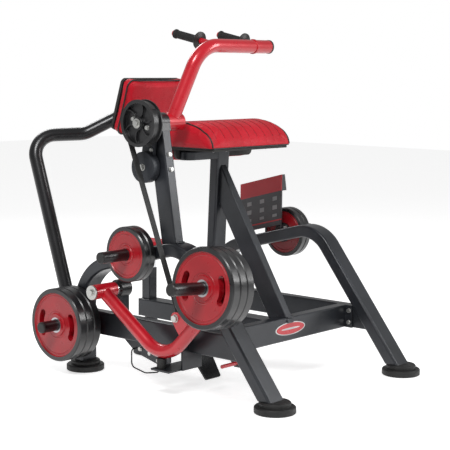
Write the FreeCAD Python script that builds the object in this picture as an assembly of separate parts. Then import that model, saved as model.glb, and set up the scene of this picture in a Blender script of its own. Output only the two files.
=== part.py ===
import FreeCAD, Part
import math
import os

# Plate loaded seated triceps press.
# X runs across the machine (the seated user's left is +X), the user faces -Y, +Z is up.
# Everything is drawn from the floor, midway between the two arches and midway between the feet,
# and is moved at the end so that the origin is the middle of the bounding box's base.

V = FreeCAD.Vector

# ---- fits and clearances ----
running_clearance = 0.05      # radial, shafts that turn in their bearings
bolt_clearance = 0.5          # radial, bolts in their holes
soft_clearance = 0.3          # cushions off their boards, plates off one another
side_clearance = 2.0          # between parts that turn past one another
plate_bore_clearance = 1.35   # radial, weight plates on a horn

# ---- stance ----
arch_spacing = 870.0          # between the middle planes of the two arches
foot_span = 1073.0            # front foot centre to rear foot centre
foot_radius = 82.5
foot_step_radius = 64.0
foot_base_height = 27.0
foot_height = 45.0

# ---- arches ----
arch_width = 90.0             # tube across the machine
arch_depth = 55.0             # tube in the plane of the arch
arch_wall = 3.0
arch_corner = 10.0
arch_front_y = -77.7          # front corner of the centre line
arch_front_z = 603.9
arch_rear_z = 448.4           # rear corner of the centre line
arch_front_bend = 150.0
arch_rear_bend = 225.0
leg_toe = 23.2                # lower end of the leg behind its foot's centre

# ---- lower frame ----
beam_width = 50.0
beam_height = 100.0
beam_wall = 3.0
beam_corner = 6.0
beam_bottom = 175.0
crossbeam_front = -260.0
flange_thickness = 8.0
flange_overhang = 34.0
centre_width = 80.0           # centre beam and centre post
centre_beam_height = 80.0
centre_beam_end = 600.0
centre_foot_y = 560.0
centre_foot_stem_radius = 30.0

# ---- centre post, brace ----
post_depth = 48.0
post_foot_y = 147.6           # front face at the top of the centre beam
post_head_y = 116.2           # front face at the post's top
post_plate_width = 160.0
post_plate_thickness = 6.0
brace_width = 40.0
brace_depth = 92.0
brace_foot_y = -258.0
brace_head_y = 107.0
brace_head_z = 879.0

# ---- side post and arm pivot ----
side_post_width = 50.0
side_post_depth = 80.0
side_post_lean = 9.76         # degrees, to the rear
pivot_y = 93.4
pivot_z = 1096.0
housing_radius = 41.0
housing_overhang = 3.0        # beyond the post on either side
housing_skirt = 32.0          # from the shaft's axis down to the post's top
shaft_radius = 15.0
bearing_radius = 27.5
bearing_length = 13.0
bearing_lip = 4.0
side_bolt_drops = (134.0, 194.0)

# ---- arm ----
arm_collar_radius = 37.0
arm_collar_length = 95.0
arm_tube_radius = 29.0
arm_tube_wall = 3.0
arm_root_x = -358.0
arm_corner_x = -251.0
arm_bar_y = 26.0
arm_bar_z = 1411.0
arm_bar_end = 180.0
arm_bend = 130.0
arm_ring_x = 80.0
arm_ring_width = 9.0
arm_ring_height = 3.0
cap_length = 12.0
handle_spacing = 290.0
handle_rise = 12.0            # degrees
handle_radius = 13.0
handle_reach = 262.0          # from the bar's axis to the rod's end
guard_distance = 100.0
guard_radius = 37.5
guard_thickness = 5.0
guard_dish = 6.0
grip_radius = 17.5
grip_length = 140.0
grip_lip = 3.0

# ---- belt wheel and counterweight ----
wheel_radius = 95.5
wheel_width = 48.0
wheel_flange = 5.0
drum_radius = 86.0
wheel_rim = 5.0               # drum wall
wheel_web = 10.0
wheel_hub_radius = 26.0
wheel_face_x = -555.0
spoke_count = 6
spoke_width = 5.0
spoke_height = 9.0
spoke_bow = 13.0
spoke_turn = -23.0            # degrees, first spoke
wheel_bolt_radius = 11.0
wheel_bolt_circle = 42.0
wheel_bolt_turn = 23.0        # degrees, first of the two
belt_width = 30.0
belt_thickness = 3.0
belt_wrap_angle = 160.0
counterweight_thickness = 35.0
counterweight_radius = 64.0
counterweight_y = 118.0
counterweight_z = 915.0
counterweight_arm = 14.0
counterweight_neck = 34.0      # half width of the arm where it meets the disc
counterweight_boss_radius = 32.0
weight_bolt_rise = 72.0        # from the disc's screw up to the small one
weight_bolt_lead = 30.0

# ---- weight lever ----
lever_y = 310.0
lever_z = 388.0
lever_x = -540.0
lever_tube_radius = 27.5
lever_wall = 4.0
lever_corner = (-48.0, 140.0)
lever_end = (-389.0, 487.0)
lever_tail = 30.0
lever_bend = 140.0
lever_hub_radius = 31.0
lever_hub_length = 120.0
lever_pin_radius = 15.0
lever_post_depth = 50.0
lever_block_radius = 38.0
anchor_y = -120.0
anchor_z = 330.0
lug_thickness = 6.0
lug_radius = 25.0
anchor_pin_radius = 8.0

# ---- horns and plates ----
horn_radius = 24.15
horn_length = 204.0
horn_flange_radius = 46.0
horn_flange_thickness = 6.0
horn_cap_length = 8.0
horn_cap_step = 0.4            # cap's radius under the horn's
horn_groove_width = 3.0        # clip groove outside the stored plates
horn_groove_depth = 0.8
horn_tilt = 5.0               # degrees, weight lever's horn
load_horn_length = 322.0
load_plate_start = 36.0
top_horn_y = 170.0
top_horn_z = 556.0
rear_horn_z = 220.0
plate_radius = 157.5
plate_thickness = 40.0
plate_rim = 20.0
plate_recess = 6.0
plate_hub_radius = 48.0
plate_slot_circle = 97.0
plate_slot_radius = 15.0
plate_slot_angle = 52.0
small_plate_radius = 115.0
small_plate_thickness = 31.0
small_plate_rim = 17.0
small_plate_recess = 4.0
small_plate_hub_radius = 36.0
large_count = 3
small_count = 2

# ---- pads ----
board_thickness = 10.0
elbow_half_width = 262.0
elbow_bottom = 983.0
elbow_front = -50.0
elbow_rear = 270.0
elbow_crest_y = 150.0
elbow_crest_z = 1100.0
elbow_rear_z = 1022.0
board_inset = 12.0
chest_half_width = 262.0
chest_front = 170.0
chest_board_thickness = 14.0
chest_pad_thickness = 62.0
chest_bottom = 925.0
chest_corner = 32.0
bracket_size = 38.0
bracket_y = 137.5
bracket_z = 946.5
bracket_x = -205.0
bracket_bend = 30.0
back_lean = 17.7              # degrees, forward at the top
back_half_width = 200.0
back_foot_y = 575.0           # front face at its lowest edge
back_foot_z = 1010.0
back_length = 265.0
back_pad_thickness = 52.0
back_board_thickness = 14.0
back_corner = 34.0
back_tube_radius = 30.0
back_tube_wall = 3.0
back_plate_size = 110.0
back_plate_thickness = 8.0

# ---- seat ----
seat_tube = 50.0
seat_tube_wall = 3.0
seat_tube_top = 400.0
seat_y = 605.0
seat_stem_gap = 0.3
seat_stem_bottom = 270.0
seat_half_width = 130.0
seat_half_depth = 110.0
seat_top = 520.0
seat_pad_thickness = 52.0
seat_corner = 40.0
pin_radius = 6.0
pin_z = 370.0
pin_knob_radius = 15.0
pin_knob_length = 28.0

# ---- placard ----
sheet_thickness = 3.0
placard_front = 150.0
placard_length = 247.0
placard_top = 830.0
placard_ear = 38.0            # folded ear at the top of the front edge
placard_ear_top = 24.0
placard_ear_height = 75.0
placard_hem = 7.0
placard_foot = 42.0
placard_x = 440.0

# ---- stops, latch and pedal ----
stop_y = -100.0
stop_plate_thickness = 8.0
stop_shelf_top = 113.0
bumper_radius = 20.0
latch_thickness = 8.0
cable_radius = 3.0
pedal_x = -280.0
pedal_ear_gap = 32.0
pedal_ear_thickness = 6.0
pedal_pivot_y = -190.0
pedal_pivot_z = 165.0
pedal_pin_radius = 6.0
pedal_thickness = 8.0
pedal_top_width = 120.0
pedal_bottom_width = 92.0
pedal_bar_radius = 8.0

# ---- bolts ----
bolt_size = 10.0

# ---- values that follow from the ones above ----
arch_x = arch_spacing / 2
arch_face = arch_x + arch_width / 2
foot_y = foot_span / 2
beam_top = beam_bottom + beam_height
beam_inner = arch_x - beam_width / 2
beam_outer = arch_x + beam_width / 2
crossbeam_rear = crossbeam_front + beam_width
centre_top = beam_bottom + centre_beam_height
post_head_z = elbow_bottom - soft_clearance - board_thickness
board_bottom = post_head_z
pivot = V(0, pivot_y, pivot_z)
ACROSS = V(1, 0, 0)
DEPTH = V(0, 1, 0)
UP = V(0, 0, 1)
parts = {}


# ---- helpers ----
def box(x, y, z):
    return Part.makeBox(x[1] - x[0], y[1] - y[0], z[1] - z[0], V(x[0], y[0], z[0]))


def rod(start, end, radius):
    way = end - start
    return Part.makeCylinder(radius, way.Length, start, way)


def rod_x(x, y, z, radius):
    return rod(V(x[0], y, z), V(x[1], y, z), radius)


def sleeve_x(x, y, z, outer, inner):
    return rod_x(x, y, z, outer).cut(rod_x(x, y, z, inner))


def path(points, radii):
    """Straight runs joined by tangent arcs, one radius for each inner corner."""
    edges = []
    last = points[0]
    for before, corner, after, radius in zip(points, points[1:], points[2:], radii):
        if radius > 0:
            back = (before - corner).normalize()
            ahead = (after - corner).normalize()
            half = back.getAngle(ahead) / 2
            reach = radius / math.tan(half)
            inward = (back + ahead).normalize() * (radius / math.sin(half) - radius)
            edges.append(Part.LineSegment(last, corner + back * reach).toShape())
            arc = Part.Arc(corner + back * reach, corner + inward, corner + ahead * reach)
            edges.append(arc.toShape())
            last = corner + ahead * reach
        else:
            edges.append(Part.LineSegment(last, corner).toShape())
            last = corner
    edges.append(Part.LineSegment(last, points[-1]).toShape())
    return Part.Wire(edges)


def outline(points, radius):
    """Closed polygon with every corner rounded."""
    middle = (points[0] + points[-1]) * 0.5
    return path([middle] + points + [middle], [radius] * len(points))


def slab(points, radius, push):
    return Part.Face(outline(points, radius)).extrude(push)


def slab_yz(points, x, radius=0.0):
    corners = [V(x[0], y, z) for y, z in points]
    return slab(corners, radius, V(x[1] - x[0], 0, 0))


def rectangle(centre, across, along, width, depth, radius):
    a = across * (width / 2)
    b = along * (depth / 2)
    return outline([centre - a - b, centre + a - b, centre + a + b, centre - a + b], radius)


def box_beam(start, end, across, width, depth, corner, wall):
    """Straight rectangular tube, open at both ends, and its filled outer shape."""
    way = end - start
    along = way.cross(across).normalize()
    full = Part.Face(rectangle(start, across, along, width, depth, corner)).extrude(way)
    inner = rectangle(start, across, along, width - 2 * wall, depth - 2 * wall, corner - wall + 0.5)
    return full.cut(Part.Face(inner).extrude(way)), full


def sweep(spine, profile):
    return spine.makePipeShell([profile], True, False)


def round_tube(points, radii, radius, wall):
    """Bent round tube, open at both ends, and its filled outer shape."""
    spine = path(points, radii)
    way = points[1] - points[0]
    full = sweep(spine, Part.Wire(Part.makeCircle(radius, points[0], way)))
    hollow = sweep(spine, Part.Wire(Part.makeCircle(radius - wall, points[0], way)))
    return full.cut(hollow), full


def turned(profile, start, axis):
    """Solid of revolution about the line through start; profile is (along, radius)."""
    placed = [V(r, 0, a) for a, r in profile]
    face = Part.Face(Part.makePolygon(placed + [placed[0]]))
    shape = face.revolve(V(0, 0, 0), V(0, 0, 1), 360)
    shape.Placement = FreeCAD.Placement(start, FreeCAD.Rotation(V(0, 0, 1), axis))
    return shape


def mirrored(shape):
    return shape.mirror(V(0, 0, 0), ACROSS)


def together(shapes):
    return Part.makeCompound(shapes)


def joined(shapes):
    return shapes[0].multiFuse(shapes[1:]).removeSplitter()


def hexagon_prism(start, axis, flats, height):
    spin = FreeCAD.Rotation(V(0, 0, 1), axis)
    ring = []
    for k in range(7):
        angle = math.radians(60 * k)
        corner = V(math.cos(angle), math.sin(angle), 0) * (flats / math.sqrt(3))
        ring.append(start + spin.multVec(corner))
    return Part.Face(Part.makePolygon(ring)).extrude(axis * height)


def bolt(seat, axis, shank, size=bolt_size):
    """Hexagon bolt with a washer; seat is the point under the washer, axis points outwards."""
    washer = rod(seat, seat + axis * (0.2 * size), size)
    head = hexagon_prism(seat + axis * (0.2 * size), axis, 1.6 * size, 0.65 * size)
    stem = rod(seat - axis * shank, seat + axis * (0.1 * size), size / 2)
    return joined([washer, head, stem])


def bolt_hole(seat, axis, shank, size=bolt_size):
    return rod(seat - axis * (shank + 1), seat + axis, size / 2 + bolt_clearance)


bolts = []


# ---- arches ----
leg_foot = V(0, leg_toe - foot_y, foot_height)
front_corner = V(0, arch_front_y, arch_front_z)
leg_way = (leg_foot - front_corner).normalize()
arch_points = [leg_foot + leg_way * arch_depth, front_corner, V(0, foot_y, arch_rear_z)]
arch_points.append(V(0, foot_y, foot_height - arch_depth))


def arch_shape(width, depth, corner):
    spine = path(arch_points, [arch_front_bend, arch_rear_bend])
    side = leg_way.cross(ACROSS)
    profile = rectangle(arch_points[0], ACROSS, side, width, depth, corner)
    return sweep(spine, profile)


arch_full = arch_shape(arch_width, arch_depth, arch_corner)
arch_inner = arch_shape(arch_width - 2 * arch_wall, arch_depth - 2 * arch_wall, arch_corner - arch_wall)
underneath = box((-arch_width, arch_width), (-foot_span, foot_span), (-2 * arch_depth, foot_height))
arch_solid = arch_full.cut(underneath)
arch = arch_solid.cut(arch_inner)
near_arch_solid = arch_solid.translated(V(-arch_x, 0, 0))
parts["right_arch"] = arch.translated(V(-arch_x, 0, 0))
parts["left_arch"] = arch.translated(V(arch_x, 0, 0))


def arch_top(y):
    """Height of the arch's upper face on its straight top run."""
    fall = (arch_front_z - arch_rear_z) / (foot_y - arch_front_y)
    return arch_front_z - fall * (y - arch_front_y) + arch_depth / 2 * math.hypot(1, fall)


foot_profile = [(0, 0), (0, foot_radius - 3), (3, foot_radius), (foot_base_height - 4, foot_radius)]
foot_profile += [(foot_base_height, foot_radius - 4), (foot_base_height, foot_step_radius)]
foot_profile += [(foot_height - 4, foot_step_radius), (foot_height, foot_step_radius - 4), (foot_height, 0)]
foot_places = [(s * arch_x, t * foot_y) for s in (-1, 1) for t in (-1, 1)] + [(0, centre_foot_y)]
parts["feet"] = together([turned(foot_profile, V(x, y, 0), UP) for x, y in foot_places])

# ---- lower frame ----
beam_mid = beam_bottom + beam_height / 2
beam, beam_solid = box_beam(
    V(-arch_x, -foot_y, beam_mid), V(-arch_x, foot_y, beam_mid), ACROSS,
    beam_width, beam_height, beam_corner, beam_wall)
beam = beam.cut(near_arch_solid)
beam = max(beam.Solids, key=lambda piece: piece.Volume)
beam_solid = max(beam_solid.cut(near_arch_solid).Solids, key=lambda piece: piece.Volume)

crossbeam_mid = crossbeam_front + beam_width / 2
crossbeam_half = beam_inner - flange_thickness
crossbeam, crossbeam_solid = box_beam(
    V(-crossbeam_half, crossbeam_mid, beam_mid), V(crossbeam_half, crossbeam_mid, beam_mid), DEPTH,
    beam_width, beam_height, beam_corner, beam_wall)
flange = box((-beam_inner, -crossbeam_half), (crossbeam_front - flange_overhang, crossbeam_rear),
             (beam_bottom, beam_top))
flange_reach = flange_thickness + beam_wall + 10
for height in (beam_bottom + 24, beam_top - 24):
    seat = V(-crossbeam_half, crossbeam_front - flange_overhang / 2, height)
    bolts.append(bolt(seat, ACROSS, flange_reach))
    bolts.append(mirrored(bolts[-1]))
    flange = flange.cut(bolt_hole(seat, ACROSS, flange_reach))
    beam = beam.cut(bolt_hole(seat, ACROSS, flange_reach))
parts["front_crossbeam"] = together([joined([crossbeam, flange, mirrored(flange)])])

centre_mid = beam_bottom + centre_beam_height / 2
centre_beam, centre_beam_solid = box_beam(
    V(0, crossbeam_rear, centre_mid), V(0, centre_beam_end, centre_mid), ACROSS,
    centre_width, centre_beam_height, beam_corner, beam_wall)
centre_stem = rod(V(0, centre_foot_y, foot_height), V(0, centre_foot_y, beam_bottom),
                  centre_foot_stem_radius)
end_plate = box((-centre_width / 2, centre_width / 2), (centre_beam_end, centre_beam_end + beam_wall),
                (beam_bottom, centre_top))
parts["centre_beam"] = joined([centre_beam, centre_stem, end_plate])

# ---- centre post and brace ----
post_wall = beam_wall
post_outline = [(post_foot_y, centre_top), (post_head_y, post_head_z - post_plate_thickness)]
post_outline += [(post_head_y + post_depth, post_head_z - post_plate_thickness)]
post_outline += [(post_foot_y + post_depth, centre_top)]
half = centre_width / 2
post_solid = slab_yz(post_outline, (-half, half))
post_edges = [e for e in post_solid.Edges if e.Length > 10 * post_depth]
post_solid = post_solid.makeFillet(arch_corner, post_edges)
post_outline = [(y + s * post_wall, z) for (y, z), s in zip(post_outline, (1, 1, -1, -1))]
post_hollow = slab_yz(post_outline, (-half + post_wall, half - post_wall))
plate_mid = post_head_y + post_depth / 2
post_plate = box((-post_plate_width / 2, post_plate_width / 2), (plate_mid - half, chest_front - 1),
                 (post_head_z - post_plate_thickness, post_head_z))
parts["centre_post"] = joined([post_solid.cut(post_hollow), post_plate])

brace_low = V(0, brace_foot_y, beam_top)
brace_high = V(0, brace_head_y, brace_head_z)
brace_way = (brace_high - brace_low).normalize()
brace_side = brace_way.cross(ACROSS) * (brace_depth / 2)
brace_shift = brace_side if brace_side.y > 0 else brace_side * -1
brace, brace_solid = box_beam(
    brace_low + brace_shift - brace_way * brace_depth, brace_high + brace_shift + brace_way * 2 * brace_depth,
    ACROSS, brace_width, brace_depth, beam_corner, beam_wall)
above = slab_yz([(-foot_span, centre_top), (-foot_span, post_head_z), (post_head_y, post_head_z),
                 (post_foot_y, centre_top)], (-half, half))
brace = brace.common(above).cut(crossbeam_solid).cut(post_solid)
parts["front_brace"] = max(brace.Solids, key=lambda piece: piece.Volume)

# ---- side post, bearing housing and shaft ----
lean = math.tan(math.radians(side_post_lean))
post_top_z = pivot_z - housing_skirt
side_front = -(arch_x + side_post_width / 2)
side_rear = -(arch_x - side_post_width / 2)


def side_line(z):
    return pivot_y + lean * (z - pivot_z)


low = V(-arch_x, side_line(arch_front_z - arch_depth), arch_front_z - arch_depth)
high = V(-arch_x, side_line(pivot_z), pivot_z)
side_depth = side_post_depth * math.cos(math.radians(side_post_lean))
side_post, side_post_solid = box_beam(low, high, ACROSS, side_post_width, side_depth, beam_corner, beam_wall)
over = box((-2 * arch_x, 0), (-foot_span, foot_span), (post_top_z, 2 * pivot_z))
side_post = side_post.cut(over).cut(near_arch_solid)
side_post = max(side_post.Solids, key=lambda piece: piece.Volume)
post_forward = V(0, -math.cos(math.radians(side_post_lean)), math.sin(math.radians(side_post_lean)))
for drop in side_bolt_drops:
    seat = V(-arch_x, side_line(pivot_z - drop), pivot_z - drop) + post_forward * (side_depth / 2)
    bolts.append(bolt(seat, post_forward, beam_wall + 12))
    side_post = side_post.cut(bolt_hole(seat, post_forward, beam_wall + 12))
parts["side_post"] = side_post

housing_x = (side_front - housing_overhang, side_rear + housing_overhang)
skirt = slab_yz([(side_line(post_top_z) - side_post_depth / 2, post_top_z),
                 (pivot_y - housing_radius, pivot_z), (pivot_y + housing_radius, pivot_z),
                 (side_line(post_top_z) + side_post_depth / 2, post_top_z)], housing_x)
housing = joined([rod_x(housing_x, pivot_y, pivot_z, housing_radius), skirt])
trim = box((-2 * arch_x, 0), (-foot_span, foot_span), (0, post_top_z))
housing = housing.cut(trim)
bore_radius = shaft_radius + running_clearance
housing = housing.cut(rod_x(housing_x, pivot_y, pivot_z, shaft_radius + bearing_lip))
bearings = []
for start in (housing_x[0], housing_x[1] - bearing_length):
    span = (start, start + bearing_length)
    housing = housing.cut(rod_x(span, pivot_y, pivot_z, bearing_radius))
    bearings.append(sleeve_x(span, pivot_y, pivot_z, bearing_radius, bore_radius))
parts["pivot_housing"] = housing
parts["pivot_bearings"] = together(bearings)

collar_x = (housing_x[1] + side_clearance, housing_x[1] + side_clearance + arm_collar_length)
shaft_x = (wheel_face_x - 3, collar_x[1])
parts["pivot_shaft"] = rod_x(shaft_x, pivot_y, pivot_z, shaft_radius)
parts["arm_collar"] = sleeve_x(collar_x, pivot_y, pivot_z, arm_collar_radius, shaft_radius)

# ---- arm ----
arm_points = [V(arm_root_x, pivot_y, pivot_z), V(arm_corner_x, arm_bar_y, arm_bar_z)]
arm_points.append(V(arm_bar_end, arm_bar_y, arm_bar_z))
arm, arm_solid = round_tube(arm_points, [arm_bend], arm_tube_radius, arm_tube_wall)
arm = arm.cut(rod_x(collar_x, pivot_y, pivot_z, arm_collar_radius))
arm = max(arm.Solids, key=lambda piece: piece.Volume)
handle_way = V(0, math.cos(math.radians(handle_rise)), math.sin(math.radians(handle_rise)))
rods = []
guards = []
grips = []
grip_start = guard_distance + guard_thickness + guard_dish
grip_profile = [(0, handle_radius), (0, grip_radius + grip_lip), (7, grip_radius + grip_lip)]
grip_profile += [(10, grip_radius), (grip_length - 10, grip_radius)]
grip_profile += [(grip_length - 7, grip_radius + grip_lip), (grip_length, grip_radius + grip_lip)]
grip_profile += [(grip_length, handle_radius)]
guard_profile = [(0, handle_radius), (0, handle_radius + 6), (guard_dish, guard_radius)]
guard_profile += [(guard_dish + guard_thickness, guard_radius)]
guard_profile += [(guard_thickness, handle_radius + 6), (guard_thickness, handle_radius)]
for side in (-1, 1):
    root = V(side * handle_spacing / 2, arm_bar_y, arm_bar_z)
    handle = rod(root, root + handle_way * handle_reach, handle_radius)
    rods.append(handle.cut(arm_solid))
    guards.append(turned(guard_profile, root + handle_way * guard_distance, handle_way))
    grips.append(turned(grip_profile, root + handle_way * grip_start, handle_way))
ring_x = (arm_ring_x - arm_ring_width / 2, arm_ring_x + arm_ring_width / 2)
ring = sleeve_x(ring_x, arm_bar_y, arm_bar_z, arm_tube_radius + arm_ring_height, arm_tube_radius)
parts["arm_tube"] = joined([arm, ring])
parts["handle_rods"] = together(rods)
parts["hand_guards"] = together(guards)
parts["grips"] = together(grips)
end_cap = [(0, 0), (0, arm_tube_radius + 1), (cap_length - 4, arm_tube_radius + 1)]
end_cap += [(cap_length, arm_tube_radius - 5), (cap_length, 0)]
parts["arm_end_cap"] = turned(end_cap, V(arm_bar_end, arm_bar_y, arm_bar_z), ACROSS)

# ---- belt wheel ----
wheel_x = (wheel_face_x, wheel_face_x + wheel_width)
groove_x = (wheel_x[0] + wheel_flange, wheel_x[1] - wheel_flange)
web_x = (wheel_x[0] + wheel_width / 2 - wheel_web / 2, wheel_x[0] + wheel_width / 2 + wheel_web / 2)
rim_radius = drum_radius - wheel_rim
wheel_rim_shape = sleeve_x(wheel_x, pivot_y, pivot_z, wheel_radius, rim_radius)
wheel_rim_shape = wheel_rim_shape.cut(sleeve_x(groove_x, pivot_y, pivot_z, wheel_radius + 5, drum_radius))
wheel_parts = [wheel_rim_shape, sleeve_x(web_x, pivot_y, pivot_z, rim_radius + 2, shaft_radius)]
wheel_parts.append(sleeve_x(wheel_x, pivot_y, pivot_z, wheel_hub_radius, shaft_radius))
spoke_x = web_x[0] - spoke_height
middle_radius = (wheel_hub_radius + rim_radius) / 2
for k in range(spoke_count):
    angle = math.radians(spoke_turn) + 2 * math.pi * k / spoke_count
    outward = V(0, math.cos(angle), math.sin(angle))
    aside = ACROSS.cross(outward)
    centre = V(spoke_x + spoke_height / 2, pivot_y, pivot_z)
    inner_end = centre + outward * (wheel_hub_radius - 3)
    outer_end = centre + outward * (rim_radius + 3)
    bend = centre + outward * middle_radius + aside * spoke_bow
    spine = Part.Wire(Part.Arc(inner_end, bend, outer_end).toShape())
    start_way = spine.Edges[0].tangentAt(spine.Edges[0].FirstParameter)
    profile = rectangle(inner_end, ACROSS, start_way.cross(ACROSS), spoke_height + 2, spoke_width, 0.0)
    wheel_parts.append(sweep(spine, profile))
wheel = joined(wheel_parts)
wheel_bolts = []
for turn in (wheel_bolt_turn, wheel_bolt_turn + 180.0):
    way = V(0, math.cos(math.radians(turn)), math.sin(math.radians(turn)))
    seat = V(web_x[0], pivot_y, pivot_z) + way * wheel_bolt_circle
    wheel_bolts.append(bolt(seat, ACROSS * -1, wheel_web + 6, 2 * wheel_bolt_radius / 2.2))
    wheel = wheel.cut(rod(seat - ACROSS * 20, seat + ACROSS * 20, wheel_bolt_radius / 2.2))
cap_seat = V(shaft_x[0], pivot_y, pivot_z)
wheel_bolts.append(rod(cap_seat, cap_seat - ACROSS * 3, shaft_radius + 5))
wheel_bolts[-1] = joined([wheel_bolts[-1], hexagon_prism(cap_seat - ACROSS * 3, ACROSS * -1, 24, 9)])
parts["wheel"] = wheel

# ---- belt ----
anchor = V(0, anchor_y, anchor_z)
belt_radius = drum_radius + belt_thickness / 2
belt_x = (wheel_x[0] + wheel_x[1]) / 2
belt_span_x = (belt_x - belt_width / 2, belt_x + belt_width / 2)
to_anchor = anchor - pivot
straight = math.sqrt(to_anchor.Length ** 2 - belt_radius ** 2)
belt_angle = math.atan2(to_anchor.z, to_anchor.y) + math.acos(belt_radius / to_anchor.Length)
tangent_way = V(0, math.cos(belt_angle), math.sin(belt_angle))
tangent_point = pivot + tangent_way * belt_radius
belt_way = (anchor - tangent_point).normalize()
wrap = Part.makeCylinder(drum_radius + belt_thickness, belt_width, V(belt_span_x[0], pivot_y, pivot_z),
                         ACROSS, belt_wrap_angle)
wrap = wrap.cut(rod_x(belt_span_x, pivot_y, pivot_z, drum_radius))
wrap.rotate(pivot, ACROSS, math.degrees(belt_angle) - 90)
parts["belt_wrap"] = wrap
belt_side = belt_way.cross(ACROSS)
belt_middle = V((belt_span_x[0] + belt_span_x[1]) / 2, 0, 0)
belt_start = tangent_point + belt_middle + tangent_way * running_clearance
belt_end = anchor + belt_middle - belt_way * (anchor_pin_radius + 3)
strip = rectangle(belt_start, ACROSS, tangent_way, belt_width, belt_thickness - 2 * running_clearance, 0.0)
parts["belt_span"] = Part.Face(strip).extrude(belt_end - belt_start)

# ---- counterweight ----
weight_x = (side_front - housing_overhang - side_clearance - counterweight_thickness,
            side_front - housing_overhang - side_clearance)
weight = rod_x(weight_x, counterweight_y, counterweight_z, counterweight_radius)
arm_x = (weight_x[1] - counterweight_arm, weight_x[1])
hanger = slab_yz([(pivot_y - counterweight_boss_radius, pivot_z),
                  (counterweight_y - counterweight_neck, counterweight_z),
                  (counterweight_y + counterweight_neck, counterweight_z),
                  (pivot_y + counterweight_boss_radius, pivot_z)], arm_x)
boss = rod_x(weight_x, pivot_y, pivot_z, counterweight_boss_radius)
weight = joined([weight, hanger, boss]).cut(rod_x(weight_x, pivot_y, pivot_z, shaft_radius))
weight_bolts = []
disc_seat = V(weight_x[0], counterweight_y, counterweight_z)
arm_seat = V(arm_x[0], counterweight_y - weight_bolt_lead, counterweight_z + weight_bolt_rise)
for seat, reach, size in ((disc_seat, 20, 14.0), (arm_seat, 10, 8.0)):
    weight_bolts.append(bolt(seat, ACROSS * -1, reach, size))
    weight = weight.cut(bolt_hole(seat, ACROSS * -1, reach, size))
parts["counterweight"] = weight
parts["rotor_bolts"] = together(wheel_bolts + weight_bolts)

# ---- lever post and its fixed pin ----
block_x = (side_front - housing_overhang, side_rear + housing_overhang)
lever_post_y = (lever_y - lever_post_depth / 2, lever_y + lever_post_depth / 2)
lever_post = box((side_front, side_rear), lever_post_y, (beam_top, lever_z))
lever_post = lever_post.makeFillet(beam_corner, [e for e in lever_post.Edges if e.Length > lever_z - beam_top - 1])
block = rod_x(block_x, lever_y, lever_z, lever_block_radius)
lever_bore = rod_x((-2 * arch_x, 0), lever_y, lever_z, lever_pin_radius)
parts["lever_post"] = lever_post.cut(block)
parts["lever_block"] = block.cut(lever_bore)
hub_x = (lever_x - lever_hub_length / 2, lever_x + lever_hub_length / 2)
pin_x = (hub_x[0] - side_clearance, block_x[1])
lever_pin = rod_x(pin_x, lever_y, lever_z, lever_pin_radius)
spacer_x = (hub_x[1] + 0.5, block_x[0])
lever_spacer = sleeve_x(spacer_x, lever_y, lever_z, lever_hub_radius - 4, lever_pin_radius)
parts["lever_pin"] = together([lever_pin, lever_spacer])
cap_seat = V(pin_x[0], lever_y, lever_z)
pin_cap = rod(cap_seat, cap_seat - ACROSS * 7, lever_hub_radius - 1)
parts["lever_cap"] = joined([pin_cap, hexagon_prism(cap_seat - ACROSS * 7, ACROSS * -1, 24, 9)])

# ---- weight lever ----
parts["lever_hub"] = sleeve_x(hub_x, lever_y, lever_z, lever_hub_radius, lever_pin_radius + running_clearance)
tail_way = V(0, lever_end[0] - lever_corner[0], lever_end[1] - lever_corner[1]).normalize()
load_root = V(lever_x, lever_end[0], lever_end[1])
lever_points = [V(lever_x, lever_y, lever_z), V(lever_x, lever_corner[0], lever_corner[1])]
lever_points.append(load_root + tail_way * lever_tail)
lever, lever_solid = round_tube(lever_points, [lever_bend], lever_tube_radius, lever_wall)
lever = lever.cut(rod_x(hub_x, lever_y, lever_z, lever_hub_radius))
lever = max(lever.Solids, key=lambda piece: piece.Volume)
lug_way = V(0, tail_way.z, -tail_way.y)
anchor_offset = (V(0, anchor_y, anchor_z) - V(0, lever_corner[0], lever_corner[1])).dot(lug_way)
lug_base = V(0, anchor_y, anchor_z) - lug_way * (anchor_offset)
lug_half = lug_radius
lug_points = [lug_base - tail_way * lug_half * 1.5, lug_base + tail_way * lug_half * 1.5]
lug_points += [V(0, anchor_y, anchor_z) + tail_way * lug_half, V(0, anchor_y, anchor_z) - tail_way * lug_half]
lugs = []
lug_gap = belt_width / 2 + side_clearance
lug_spans = ((belt_x - lug_gap - lug_thickness, belt_x - lug_gap), (belt_x + lug_gap, belt_x + lug_gap + lug_thickness))
for span in lug_spans:
    flat = slab_yz([(p.y, p.z) for p in lug_points], span)
    lugs.append(flat.fuse(rod_x(span, anchor_y, anchor_z, lug_radius)))
inside = sweep(path(lever_points, [lever_bend]),
               Part.Wire(Part.makeCircle(lever_tube_radius - lever_wall, lever_points[0], lever_points[1] - lever_points[0])))
lug_hole = rod_x((-2 * arch_x, 0), anchor_y, anchor_z, anchor_pin_radius + bolt_clearance)
lever = joined([lever] + lugs).cut(inside).cut(lug_hole)
parts["lever_tube"] = max(lever.Solids, key=lambda piece: piece.Volume)
seat = V(lug_spans[0][0], anchor_y, anchor_z)
parts["anchor_bolt"] = bolt(seat, ACROSS * -1, lug_spans[1][1] - lug_spans[0][0] + 8, 2 * anchor_pin_radius)

# ---- horns ----
cap_radius = horn_radius - horn_cap_step
cap_profile = [(0, 0), (0, cap_radius), (horn_cap_length - 3, cap_radius), (horn_cap_length, cap_radius - 4)]
cap_profile += [(horn_cap_length, 0)]
horn_caps = []


def clip_groove(root, way, start):
    groove = rod(root + way * start, root + way * (start + horn_groove_width), 2 * horn_radius)
    return groove.cut(rod(root, root + way * load_horn_length, horn_radius - horn_groove_depth))


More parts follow.
